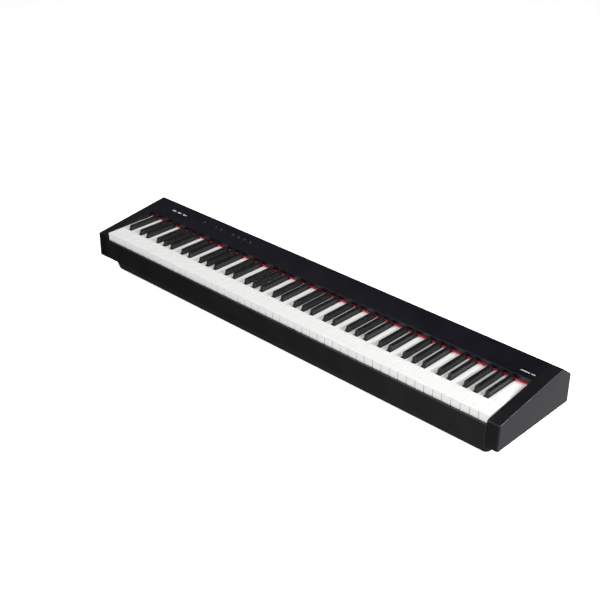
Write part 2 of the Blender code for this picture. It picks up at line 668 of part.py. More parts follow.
def tub_mesh(half_x, half_y, low, high, margin):
    """A solid with rounded corners that narrows downwards at the tray's taper, moved in by a margin."""
    radius = TRAY_CORNER - margin
    points = []
    for quarter, (side_x, side_y) in enumerate(((1, 1), (-1, 1), (-1, -1), (1, -1))):
        for step in range(4):
            angle = (quarter + step / 3) * math.pi / 2
            points.append((side_x * (half_x - margin - radius) + radius * math.cos(angle),
                           side_y * (half_y - margin - radius) + radius * math.sin(angle)))
    mesh = outline_mesh(points, high - low)
    for vert in mesh.vertices:
        depth = (TRAY_TOP - vert.co.z - low) / TRAY_DEPTH
        vert.co.x -= math.copysign(TRAY_TAPER_X, vert.co.x) * depth
        vert.co.y -= math.copysign(TRAY_TAPER_Y, vert.co.y) * depth
    mesh.transform(Matrix.Translation((0, 0, low)))
    return mesh


def round_cutter(name, radius, centre, reach):
    """A cylinder along Y that reaches as far before its centre as behind it."""
    mesh = rod_mesh(radius, 2 * reach, ROUND)
    mesh.transform(Matrix.Rotation(math.pi / 2, 4, "Z") @ Matrix.Translation((-reach, 0, 0)))
    return place(name, mesh, location=centre, cutter=True)


def make_tray(finish, board):
    """The tapered tray below the case: grille slots, socket holes and bosses for the main board."""
    tray = place("bottom_tray", tub_mesh(*TRAY_HALF, FOOT_HEIGHT, TRAY_TOP, 0), finish)
    hollow = tub_mesh(*TRAY_HALF, TRAY_FLOOR, TRAY_TOP + TRAY_WALL, TRAY_WALL)
    cut(tray, place("tray_hollow", hollow, cutter=True))
    for side in (-1, 1):
        for number in range(SLOT_COUNT):
            offset = (number - (SLOT_COUNT - 1) / 2) * SLOT_PITCH
            reach = math.sqrt(max(SPEAKER_RADIUS ** 2 - offset ** 2, 0)) - SLOT_WIDTH
            x = side * (KEYBOARD / 2 - SPEAKER_INSET) + offset
            slot = box(f"slot_{side}_{number}", (x - SLOT_WIDTH / 2, -reach, FOOT_HEIGHT - TRAY_WALL),
                       (x + SLOT_WIDTH / 2, reach, TRAY_FLOOR + TRAY_WALL), None, cutter=True)
            cut(tray, slot)
    for number, x in enumerate(HEADPHONE_X):
        centre = (LEFT + x, headphone_y(), FOOT_HEIGHT + HEADPHONE_LIFT)
        cut(tray, round_cutter(f"headphone_hole_{number}", SOCKET_BARREL + FIT_GAP, centre, 4 * TRAY_WALL))
    left, right, front, rear = MAIN_BOARD
    low = TRAY_FLOOR + MAIN_BOARD_LIFT
    for number, (x, y) in enumerate(((left, front), (right, front), (left, rear), (right, rear))):
        inward_x, inward_y = math.copysign(BOSS_WIDTH, -x), math.copysign(BOSS_WIDTH, -y)
        boss = box(f"boss_{number}", (min(x, x + inward_x), min(y, y + inward_y), TRAY_FLOOR - TRAY_WALL / 2),
                   (max(x, x + inward_x), max(y, y + inward_y), low - FIT_GAP), None, cutter=True)
        combine(tray, boss, "UNION")
    box("main_board", (left, front, low), (right, rear, low + BOARD_THICKNESS), board)


def make_feet(finish):
    """Four rubber feet under the tray's corners."""
    half_x = TRAY_HALF[0] - TRAY_TAPER_X - FOOT_INSET[0]
    half_y = TRAY_HALF[1] - TRAY_TAPER_Y - FOOT_INSET[1]
    height = FOOT_HEIGHT - FIT_GAP
    profile = [(0, height), (FOOT_RADIUS, height), (FOOT_RADIUS, height / 3), (FOOT_RADIUS * 0.9, 0), (0, 0)]
    for end, side_y in (("front", -1), ("rear", 1)):
        for hand, side_x in (("left", -1), ("right", 1)):
            turned(f"foot_{end}_{hand}", profile, finish, (side_x * half_x, side_y * half_y, 0))


# ---------------------------------------------------------------- sockets and speakers
def headphone_y():
    """Where a headphone socket's lip meets the tray's sloping front wall."""
    drop = TRAY_TOP - FOOT_HEIGHT - HEADPHONE_LIFT - SOCKET_FLANGE
    return FRONT_Y + TRAY_INSET_Y + TRAY_TAPER_Y * drop / TRAY_DEPTH - FIT_GAP


def socket_ring(name, finish, location, facing):
    """A round socket whose lip faces along -Y (facing -1) or +Y (facing 1)."""
    profile = [(SOCKET_FLANGE, SOCKET_LIP), (SOCKET_FLANGE, 0), (SOCKET_BARREL, 0),
               (SOCKET_BARREL, -SOCKET_LENGTH), (SOCKET_BORE, -SOCKET_LENGTH), (SOCKET_BORE, SOCKET_LIP)]
    turned(name, profile, finish, location, rotation=(-facing * math.pi / 2, 0, 0), steps=16, closed=True)


def make_sockets(metal, black):
    """Two headphone sockets in the tray's front wall, and three sockets in the rear wall."""
    for label, x in zip(("left", "right"), HEADPHONE_X):
        lip = (LEFT + x, headphone_y(), FOOT_HEIGHT + HEADPHONE_LIFT)
        socket_ring(f"headphone_socket_{label}", black, lip, -1)
    z = KEY_TOP - REAR_SOCKET_DEPTH
    face = REAR_Y - FIT_GAP
    socket_ring("pedal_socket", metal, (LEFT + PEDAL_X, face - SOCKET_LIP, z), 1)
    for name, x, size in (("dc_inlet", DC_X, DC_BODY), ("data_port", DATA_X, DATA_BODY)):
        port = box(name, (LEFT + x - size[0] / 2, face - PORT_DEPTH, z - size[1] / 2),
                   (LEFT + x + size[0] / 2, face, z + size[1] / 2), black)
        if name == "dc_inlet":
            cut(port, round_cutter("dc_hollow", DC_BORE, (LEFT + x, face, z), PORT_HOLLOW))
        else:
            mouth_x, mouth_z = DATA_MOUTH[0] / 2, DATA_MOUTH[1] / 2
            cut(port, box("data_hollow", (LEFT + x - mouth_x, face - PORT_HOLLOW, z - mouth_z),
                          (LEFT + x + mouth_x, face + PORT_HOLLOW, z + mouth_z), None, cutter=True))


def make_speakers(finish):
    """Two drivers that face down through the tray's slots."""
    magnet, waist = SPEAKER_RADIUS * 0.55, SPEAKER_HEIGHT * 0.55
    profile = [(0, SPEAKER_HEIGHT), (magnet, SPEAKER_HEIGHT), (magnet, waist),
               (SPEAKER_RADIUS, SPEAKER_HEIGHT * 0.2), (SPEAKER_RADIUS, 0), (0, 0)]
    for label, side in (("left", -1), ("right", 1)):
        x = side * (KEYBOARD / 2 - SPEAKER_INSET)
        turned(f"speaker_{label}", profile, finish, (x, 0, TRAY_FLOOR + FIT_GAP))


def make_case(finishes):
    """Everything that encloses the action."""
    make_end_block("end_block_left", -HALF_INNER, -HALF_WIDTH, finishes["case_black"])
    make_end_block("end_block_right", HALF_INNER, HALF_WIDTH, finishes["case_black"])
    half = HALF_INNER - FIT_GAP
    rail = box("front_rail", (-half, FRONT_Y, CASE_BOTTOM),
               (half, FRONT_Y + RAIL_THICKNESS, KEY_TOP - RAIL_TOP_DROP), finishes["case_black"])
    soften(rail, RAIL_THICKNESS / 5)
    box("chassis_plate", (-half, FRONT_Y + RAIL_THICKNESS + FIT_GAP, CASE_BOTTOM),
        (half, REAR_Y - SHELL - FIT_GAP, CHASSIS_TOP), finishes["steel"])
    make_control_panel(finishes["panel_black"], finishes["red_felt"])
    make_rear_cover(finishes["case_black"])
    make_tray(finishes["tray_black"], finishes["circuit_green"])
    make_feet(finishes["foot_rubber"])


def shade_round_pieces():
    """Smooth shading on everything turned, with its sharp edges kept."""
    for item in bpy.data.collections[COLLECTION].objects:
        item.data.shade_smooth()
        item.data.set_sharp_from_angle(angle=math.radians(35))


def main():
    """Builds the whole instrument."""
    clear_scene()
    finishes = make_materials()
    make_case(finishes)
    make_key_frame(finishes["frame_plastic"], finishes["grey_felt"], finishes["circuit_green"],
                   finishes["steel"])
    step, bore = shared_key_cutters()
    make_white_keys(finishes["white_key"], (step, bore))
    make_black_keys(finishes["black_key"], bore)
    make_hammers(finishes["frame_plastic"], finishes["steel"], finishes["grey_felt"])
    make_buttons(finishes["button_black"], finishes["circuit_green"])
    make_sockets(finishes["socket_metal"], finishes["socket_black"])
    make_speakers(finishes["speaker_black"])
    shade_round_pieces()


main()
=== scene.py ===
"""Looks of the slab digital piano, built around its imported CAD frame.

Metres in the frame's own axes: +X runs up the keyboard, +Y runs from the player to the rear
and +Z is up. Places come from the CAD nodes' boxes and from the joints, and each sub-assembly
holds only the sizes that the frame does not give.
"""

import json
import logging
import math
from collections.abc import Callable, Sequence
from dataclasses import dataclass
from enum import Enum

import bmesh
import bpy
from mathutils import Matrix, Vector

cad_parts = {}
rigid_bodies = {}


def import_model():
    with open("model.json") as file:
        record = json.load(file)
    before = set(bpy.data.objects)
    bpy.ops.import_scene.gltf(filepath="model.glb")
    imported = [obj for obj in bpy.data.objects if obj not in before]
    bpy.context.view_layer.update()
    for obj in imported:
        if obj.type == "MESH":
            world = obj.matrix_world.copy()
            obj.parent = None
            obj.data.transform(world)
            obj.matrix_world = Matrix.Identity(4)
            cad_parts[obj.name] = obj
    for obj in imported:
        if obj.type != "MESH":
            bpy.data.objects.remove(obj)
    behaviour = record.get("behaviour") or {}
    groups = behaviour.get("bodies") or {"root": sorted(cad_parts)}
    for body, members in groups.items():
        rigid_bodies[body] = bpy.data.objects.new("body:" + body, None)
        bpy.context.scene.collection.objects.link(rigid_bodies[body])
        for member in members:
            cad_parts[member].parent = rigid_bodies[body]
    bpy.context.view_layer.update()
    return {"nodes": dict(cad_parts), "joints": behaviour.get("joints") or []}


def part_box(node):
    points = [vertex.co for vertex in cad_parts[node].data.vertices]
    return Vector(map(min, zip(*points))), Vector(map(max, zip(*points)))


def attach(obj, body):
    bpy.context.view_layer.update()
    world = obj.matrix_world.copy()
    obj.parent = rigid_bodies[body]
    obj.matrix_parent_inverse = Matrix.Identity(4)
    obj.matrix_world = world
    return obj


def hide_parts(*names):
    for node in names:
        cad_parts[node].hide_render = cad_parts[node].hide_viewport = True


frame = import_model()

LOG = logging.getLogger("digital_piano")
EDGE = "edge"                       # face attribute, 1 on rounded edges and 0 elsewhere
SMOOTH_ANGLE = math.radians(40)
MERGE = 1e-6

Point = tuple[float, float]
Place = tuple[float, float, float]
Colour = tuple[float, float, float]


class Hand(Enum):
    """The two ends of the keyboard."""

    LEFT = -1
    RIGHT = 1


class Depth(Enum):
    """The two long sides of the case."""

    FRONT = -1
    REAR = 1


# ---------------------------------------------------------------- shader tools
class Value:
    """A shader socket that Python's arithmetic operators work on."""

    def __init__(self, shade: "Shade", socket: bpy.types.NodeSocket) -> None:
        """Keeps the tree that the socket belongs to."""
        self.shade = shade
        self.socket = socket

    def _math(self, operation: str, first: "Amount", second: "Amount" = 0.0) -> "Value":
        """One Math node."""
        return self.shade.node("ShaderNodeMath", {"operation": operation}, {0: first, 1: second})

    def __add__(self, other: "Amount") -> "Value":
        """self + other."""
        return self._math("ADD", self, other)

    def __radd__(self, other: "Amount") -> "Value":
        """other + self."""
        return self._math("ADD", other, self)

    def __sub__(self, other: "Amount") -> "Value":
        """self - other."""
        return self._math("SUBTRACT", self, other)

    def __rsub__(self, other: "Amount") -> "Value":
        """other - self."""
        return self._math("SUBTRACT", other, self)

    def __mul__(self, other: "Amount") -> "Value":
        """self * other."""
        return self._math("MULTIPLY", self, other)

    def __rmul__(self, other: "Amount") -> "Value":
        """other * self."""
        return self._math("MULTIPLY", other, self)

    def __truediv__(self, other: "Amount") -> "Value":
        """self / other."""
        return self._math("DIVIDE", self, other)

    def __lt__(self, other: "Amount") -> "Value":
        """1 where self is below other, else 0."""
        return self._math("LESS_THAN", self, other)

    def __gt__(self, other: "Amount") -> "Value":
        """1 where self is above other, else 0."""
        return self._math("GREATER_THAN", self, other)

    def floor(self) -> "Value":
        """The whole number at or below self."""
        return self._math("FLOOR", self)

    def fraction(self) -> "Value":
        """What is left of self above its floor."""
        return self._math("FRACT", self)

    def ramp(self, low: float, high: float) -> "Value":
        """A smooth step from 0 at low to 1 at high."""
        return self.shade.node("ShaderNodeMapRange", {"interpolation_type": "SMOOTHSTEP"},
                               {"Value": self, "From Min": low, "From Max": high})


Amount = Value | float


class Shade:
    """A material under construction: one Principled shader and the nodes that feed it."""

    def __init__(self, name: str) -> None:
        """Starts an empty material with its shader wired to the output."""
        self.material = bpy.data.materials.new(name)
        self.material.use_nodes = True
        self.tree = self.material.node_tree
        self.tree.nodes.clear()
        self.shader = self.tree.nodes.new("ShaderNodeBsdfPrincipled")
        output = self.tree.nodes.new("ShaderNodeOutputMaterial")
        self.tree.links.new(self.shader.outputs[0], output.inputs["Surface"])

    def feed(self, socket: bpy.types.NodeSocket, value: object) -> None:
        """Links a Value to a socket, or sets the socket to a number or colour."""
        if isinstance(value, Value):
            self.tree.links.new(value.socket, socket)
        elif socket.type == "RGBA" and len(value) == 3:
            socket.default_value = (*value, 1.0)
        else:
            socket.default_value = value

    def node(self, kind: str, settings: dict | None = None, inputs: dict | None = None,
             output: int | str = 0) -> Value:
        """Adds a node.

        Args:
            kind: The node's type.
            settings: Properties to set first; stops is a ramp's list of (position, colour).
            inputs: Values or links for its sockets, by name or number.
            output: Which of its outputs is wanted.

        Returns:
            That output.
        """
        made = self.tree.nodes.new(kind)
        for name, value in (settings or {}).items():
            if name == "stops":
                for element, (position, colour) in zip(made.color_ramp.elements, value):
                    element.position = position
                    element.color = (*colour, 1.0)
            else:
                setattr(made, name, value)
        for name, value in (inputs or {}).items():
            self.feed(made.inputs[name], value)
        return Value(self, made.outputs[output])

    def place(self) -> Value:
        """The point on the piece, in metres in the frame's axes."""
        return self.node("ShaderNodeTexCoord", output="Object")

    def stretched(self, place: Value, sizes: Place) -> Value:
        """The point measured in units of a different size along each axis."""
        return self.node("ShaderNodeMapping", None,
                         {"Vector": place, "Scale": tuple(1 / size for size in sizes)})

    def along(self, place: Value, axis: str) -> Value:
        """One coordinate of a point."""
        return self.node("ShaderNodeSeparateXYZ", None, {0: place}, axis)

    def noise(self, place: Value, size: float = 1.0, detail: float = 2.0) -> Value:
        """Cloudy noise from 0 to 1 whose lumps are about that size."""
        return self.node("ShaderNodeTexNoise", None, {"Vector": place, "Scale": 1 / size, "Detail": detail})

    def cells(self, place: Value, size: float, output: str = "Distance") -> Value:
        """Voronoi cells of about that size."""
        return self.node("ShaderNodeTexVoronoi", None, {"Vector": place, "Scale": 1 / size}, output)

    def edges(self) -> Value:
        """1 on the piece's rounded edges."""
        return self.node("ShaderNodeAttribute", {"attribute_name": EDGE}, output="Fac")

    def blend(self, share: Amount, first: object, second: object) -> Value:
        """A colour between two others."""
        return self.node("ShaderNodeMix", {"data_type": "RGBA"}, {0: share, 6: first, 7: second}, 2)

    def bump(self, height: Value, depth: float, strength: float = 1.0) -> Value:
        """A normal that is tilted by a height from 0 to 1 over a depth in metres."""
        return self.node("ShaderNodeBump", None, {"Strength": strength, "Distance": depth, "Height": height})

    def edge_wear_and_highlight(self, place: Value, patch: float) -> Value:
        """Rounded edges in patches: where handling has polished them, and where a paler colour paints a
        highlight on them.
        """
        return self.edges() * self.noise(place, patch, 4.0).ramp(0.42, 0.66)

    def done(self, sockets: dict[str, object]) -> bpy.types.Material:
        """Sets the shader's sockets by name and returns the finished material."""
        for name, value in sockets.items():
            self.feed(self.shader.inputs[name], value)
        return self.material


# ---------------------------------------------------------------- finishes
def toned(colour: Colour, share: float) -> Colour:
    """A colour made darker or paler."""
    return tuple(share * channel for channel in colour)


@dataclass(frozen=True)
class Finish:
    """A material that is made once and shared by its pieces."""

    name: str
    slot: str

    def material(self) -> bpy.types.Material:
        """The material, made the first time it is asked for."""
        made = bpy.data.materials.get(self.name)
        if made is None:
            shade = Shade(self.name)
            made = shade.done(self.sockets(shade, shade.place()))
        return made

    def sockets(self, shade: Shade, place: Value) -> dict[str, object]:
        """What feeds each of the shader's sockets, by name; each finish has its own."""
        raise NotImplementedError(self.name)


@dataclass(frozen=True)
class MouldedPlastic(Finish):
    """Spark-eroded plastic: a pebbled grain, cloudy gloss, hairline scratches, and rubbed edges that are
    polished and carry a painted highlight.
    """

    colour: Colour = (0.0060, 0.0060, 0.0068)
    # Paler colour for dust specks, also used as a painted highlight on the rounded edges.
    pale_and_edge_highlight: Colour = (0.016, 0.016, 0.018)
    roughness: float = 0.44
    gloss: float = 0.5
    grain: float = 0.0007
    depth: float = 0.00003
    smudge: float = 0.060

    def sockets(self, shade: Shade, place: Value) -> dict[str, object]:
        """Wires the finish's nodes and says which socket each one feeds."""
        cloud = shade.noise(place, self.smudge, 3.0)
        pebbles = shade.cells(place, self.grain)
        dust = shade.noise(place, self.grain / 2, 2.0)
        hairs = shade.noise(shade.stretched(place, (0.090, 0.0012, 0.0012)), 1.0, 2.0).ramp(0.70, 0.78)
        polish_and_highlight = shade.edge_wear_and_highlight(place, 0.012)
        body = shade.blend(cloud.ramp(0.3, 0.7), toned(self.colour, 0.86), toned(self.colour, 1.14))
        speckled = shade.blend(dust.ramp(0.62, 0.74) * 0.35, body, self.pale_and_edge_highlight)
        return {
            # The paler colour on the rounded edges is partly wear and partly a painted highlight.
            "Base Color": shade.blend(polish_and_highlight * 0.55, speckled, self.pale_and_edge_highlight),
            "Roughness": self.roughness - 0.06 + 0.12 * cloud - 0.12 * polish_and_highlight - 0.05 * hairs + 0.05 * dust,
            "Specular IOR Level": self.gloss,
            "Normal": shade.bump(pebbles + 0.6 * dust - 0.5 * hairs, self.depth, 0.7),
        }


@dataclass(frozen=True)
class IvoryPlastic(Finish):
    """White key tops: each key a hair different, with a faint lengthwise grain under the gloss."""

    colour: Colour = (0.86, 0.857, 0.848)
    warm: Colour = (0.83, 0.82, 0.79)
    roughness: float = 0.30
    pitch: float = 0.0235
    left: float = -0.611

    def sockets(self, shade: Shade, place: Value) -> dict[str, object]:
        """Wires the finish's nodes and says which socket each one feeds."""
        number = ((shade.along(place, "X") - self.left) / self.pitch).floor()
        own = shade.node("ShaderNodeTexWhiteNoise", {"noise_dimensions": "1D"}, {"W": number})
        strand = shade.noise(shade.stretched(place, (0.0011, 0.045, 0.0011)), 1.0, 3.0)
        touch = shade.noise(place, 0.022, 4.0).ramp(0.45, 0.75)
        age = 0.30 * own + 0.35 * shade.edges() + 0.20 * strand
        return {
            "Base Color": shade.blend(age, self.colour, self.warm),
            "Roughness": self.roughness - 0.05 + 0.08 * own + 0.07 * strand + 0.08 * touch,
            "Normal": shade.bump(strand, 0.00002, 0.35),
            "IOR": 1.49,
            "Subsurface Weight": 0.04,
            "Subsurface Radius": (0.003, 0.003, 0.002),
        }


@dataclass(frozen=True)
class EbonyPlastic(Finish):
    """Black key tops: dull, with a fine lengthwise grain, and edges that fingers polish and that carry a
    painted highlight.
    """

    colour: Colour = (0.0046, 0.0046, 0.0050)
    # Paler colour for the grain, also used as a painted highlight on the rounded edges.
    pale_and_edge_highlight: Colour = (0.012, 0.012, 0.013)
    roughness: float = 0.22

    def sockets(self, shade: Shade, place: Value) -> dict[str, object]:
        """Wires the finish's nodes and says which socket each one feeds."""
        strand = shade.noise(shade.stretched(place, (0.0006, 0.016, 0.0006)), 1.0, 4.0)
        pores = shade.noise(shade.stretched(place, (0.0004, 0.004, 0.0004)), 1.0, 2.0).ramp(0.60, 0.72)
        polish_and_highlight = shade.edge_wear_and_highlight(place, 0.008)
        body = shade.blend(strand.ramp(0.35, 0.70), toned(self.colour, 0.7), self.pale_and_edge_highlight)
        return {
            # The paler colour on the rounded edges is partly wear and partly a painted highlight.
            "Base Color": shade.blend(polish_and_highlight * 0.5, body, self.pale_and_edge_highlight),
            "Roughness": self.roughness + 0.12 * strand - 0.10 * polish_and_highlight + 0.10 * pores,
            "Normal": shade.bump(strand - 0.7 * pores, 0.00006, 0.8),
        }


@dataclass(frozen=True)
class WoolFelt(Finish):
    """Pressed wool: matted fibres, a soft nap and paler loose hairs."""

    colour: Colour = (0.66, 0.004, 0.030)
    pale: Colour = (0.78, 0.03, 0.07)
    fibre: float = 0.0005

    def sockets(self, shade: Shade, place: Value) -> dict[str, object]:
        """Wires the finish's nodes and says which socket each one feeds."""
        lay = shade.noise(place, 0.006, 3.0)
        mat = shade.noise(shade.stretched(place, (3 * self.fibre, self.fibre, self.fibre)), 1.0, 5.0)
        hairs = shade.noise(shade.stretched(place, (self.fibre, self.fibre, 4 * self.fibre)), 1.0, 3.0)
        body = shade.blend(mat * 0.6 + lay * 0.4, toned(self.colour, 0.7), self.colour)
        return {
            "Base Color": shade.blend(hairs.ramp(0.58, 0.72) * 0.6, body, self.pale),
            "Roughness": 0.86 + 0.12 * lay,
            "Normal": shade.bump(mat + 0.6 * hairs, 0.0003, 0.9),
            "Sheen Weight": 0.25,
        }


@dataclass(frozen=True)
class PlatedMetal(Finish):
    """Plated steel: crystals in the plating, fine brushing along X and dull patches."""

    colour: Colour = (0.56, 0.56, 0.57)
    dull: Colour = (0.34, 0.34, 0.33)
    roughness: float = 0.26
    crystal: float = 0.006

    def sockets(self, shade: Shade, place: Value) -> dict[str, object]:
        """Wires the finish's nodes and says which socket each one feeds."""
        crystals = shade.along(shade.cells(place, self.crystal, "Color"), "X")
        brushed = shade.noise(shade.stretched(place, (0.02, 0.0003, 0.0003)), 1.0, 3.0)
        patches = shade.noise(place, 0.02, 4.0).ramp(0.5, 0.75)
        return {
            "Base Color": shade.blend(0.35 * crystals + 0.4 * patches, self.colour, self.dull),
            "Metallic": 1.0 - 0.15 * patches,
            "Roughness": self.roughness + 0.14 * crystals + 0.12 * brushed + 0.12 * patches,
            "Normal": shade.bump(brushed + 0.3 * crystals, 0.00002, 0.5),
        }


@dataclass(frozen=True)
class HammerPlastic(Finish):
    """A plastic lever whose rear end, past a line in Y, is its bare steel weight."""

    colour: Colour = (0.05, 0.05, 0.052)
    steel: Colour = (0.42, 0.41, 0.40)
    weight_front: float = 0.0

    def sockets(self, shade: Shade, place: Value) -> dict[str, object]:
        """Wires the finish's nodes and says which socket each one feeds."""
        weight = shade.along(place, "Y") > self.weight_front
        scale = shade.noise(place, 0.004, 4.0)
        grain = shade.noise(place, 0.0006, 3.0)
        return {
            "Base Color": shade.blend(weight, self.colour,
                                      shade.blend(scale, self.steel, toned(self.steel, 0.5))),
            "Metallic": 0.9 * weight,
            "Roughness": 0.55 - 0.15 * weight + 0.15 * scale,
            "Normal": shade.bump(grain + scale, 0.00006, 0.6),
        }


@dataclass(frozen=True)
class Rubber(Finish):
    """Moulded rubber with a dusty bloom, and scuffed edges whose paler colour is partly a painted highlight.
    """

    colour: Colour = (0.018, 0.018, 0.018)
    bloom_and_edge_highlight: Colour = (0.060, 0.058, 0.055)

    def sockets(self, shade: Shade, place: Value) -> dict[str, object]:
        """Wires the finish's nodes and says which socket each one feeds."""
        dust = shade.noise(place, 0.004, 4.0).ramp(0.45, 0.8)
        grain = shade.noise(place, 0.0005, 3.0)
        return {
            # Paler where dusty, and on the rounded edges: partly scuffs, partly a painted highlight.
            "Base Color": shade.blend(dust * 0.5 + shade.edge_wear_and_highlight(place, 0.004) * 0.4, self.colour, self.bloom_and_edge_highlight),
            "Roughness": 0.78 + 0.18 * dust,
            "Normal": shade.bump(grain, 0.00008, 0.7),
        }


@dataclass(frozen=True)
class CircuitBoard(Finish):
    """Lacquered laminate: copper tracks showing through the mask, tinned pads, glass weave."""

    mask: Colour = (0.012, 0.090, 0.035)
    track: Colour = (0.030, 0.170, 0.060)
    tin: Colour = (0.60, 0.60, 0.58)
    track_pitch: float = 0.0016

    def sockets(self, shade: Shade, place: Value) -> dict[str, object]:
        """Wires the finish's nodes and says which socket each one feeds."""
        blocks = shade.along(shade.cells(place, 0.018, "Color"), "X") > 0.5
        lines_x = (shade.along(place, "X") / self.track_pitch).fraction() < 0.42
        lines_y = (shade.along(place, "Y") / self.track_pitch).fraction() < 0.42
        tracks = blocks * lines_x + (1.0 - blocks) * lines_y
        pads = shade.cells(place, 0.0042) < 0.16
        weave = shade.noise(place, 0.0008, 2.0)
        green = shade.blend(tracks, self.mask, self.track)
        return {
            "Base Color": shade.blend(pads, green, self.tin),
            "Metallic": 0.85 * pads,
            "Roughness": 0.32 + 0.10 * weave + 0.08 * tracks,
            "Normal": shade.bump(0.5 * tracks + pads + 0.2 * weave, 0.00004, 0.8),
        }


@dataclass(frozen=True)
class ConePaper(Finish):
    """A loudspeaker's pressed paper pulp: long fibres and faint rings."""

    colour: Colour = (0.020, 0.020, 0.021)
    fibre: Colour = (0.055, 0.054, 0.052)

    def sockets(self, shade: Shade, place: Value) -> dict[str, object]:
        """Wires the finish's nodes and says which socket each one feeds."""
        pulp = shade.noise(shade.stretched(place, (0.0022, 0.0007, 0.002)), 1.0, 5.0)
        cross = shade.noise(shade.stretched(place, (0.0007, 0.0022, 0.002)), 1.0, 5.0)
        return {
            "Base Color": shade.blend((pulp + cross).ramp(1.0, 1.35), self.colour, self.fibre),
            "Roughness": 0.80 + 0.15 * pulp,
            "Normal": shade.bump(pulp + cross, 0.0002, 0.8),
        }


@dataclass(frozen=True)
class PaleInk(Finish):
    """Screen-printed ink: thin, matte and slightly broken."""

    colour: Colour = (0.50, 0.50, 0.51)

    def sockets(self, shade: Shade, place: Value) -> dict[str, object]:
        """Wires the finish's nodes and says which socket each one feeds."""
        thin = shade.noise(place, 0.0008, 3.0).ramp(0.55, 0.8)
        return {
            "Base Color": shade.blend(thin * 0.5, self.colour, toned(self.colour, 0.3)),
            "Roughness": 0.55 + 0.2 * thin,
            "Normal": shade.bump(thin, 0.00002, 0.4),
        }


@dataclass(frozen=True)
class SmokedLens(Finish):
    """A tinted indicator lens, faceted inside."""

    colour: Colour = (0.06, 0.06, 0.065)

    def sockets(self, shade: Shade, place: Value) -> dict[str, object]:
        """Wires the finish's nodes and says which socket each one feeds."""
        facets = shade.cells(place, 0.0004)
        return {
            "Base Color": shade.blend(facets, self.colour, toned(self.colour, 2.5)),
            "Roughness": 0.10 + 0.10 * facets,
            "Normal": shade.bump(facets, 0.00003, 0.4),
            "Coat Weight": 0.6,
        }


# ---------------------------------------------------------------- mesh tools
def rounded(points: Sequence[Point], radii: Sequence[float], steps: int = 4) -> list[Point]:
    """Replaces an outline's corners with arcs.

    Args:
        points: The corners in order.
        radii: One radius a corner, 0 to keep it sharp.
        steps: Straight pieces in each arc.

    Returns:
        The new outline.
    """
    outline = []
    for number, (point, radius) in enumerate(zip(points, radii)):
        corner = Vector(point)
        if radius <= 0:
            outline.append(point)
            continue
        before = (Vector(points[number - 1]) - corner).normalized()
        after = (Vector(points[(number + 1) % len(points)]) - corner).normalized()
        half = before.angle(after) / 2
        centre = corner + (before + after).normalized() * radius / math.sin(half)
        start = corner + before * radius / math.tan(half) - centre
        turn = (corner + after * radius / math.tan(half) - centre).angle_signed(start)
        for step in range(steps + 1):
            spoke = Matrix.Rotation(turn * step / steps, 2) @ start
            outline.append(tuple(centre + spoke))
    return outline


def rectangle(width: float, depth: float, radius: float, steps: int = 4) -> list[Point]:
    """A rectangle about the origin with rounded corners."""
    x, y = width / 2, depth / 2
    return rounded([(-x, -y), (x, -y), (x, y), (-x, y)], [radius] * 4, steps)


def at_height(outline: Sequence[Point], z: float) -> list[Place]:
    """A plan outline as a level ring."""
    return [(x, y, z) for x, y in outline]


def at_side(outline: Sequence[Point], x: float) -> list[Place]:
    """A (y, z) side view as an upright ring."""
    return [(x, y, z) for y, z in outline]


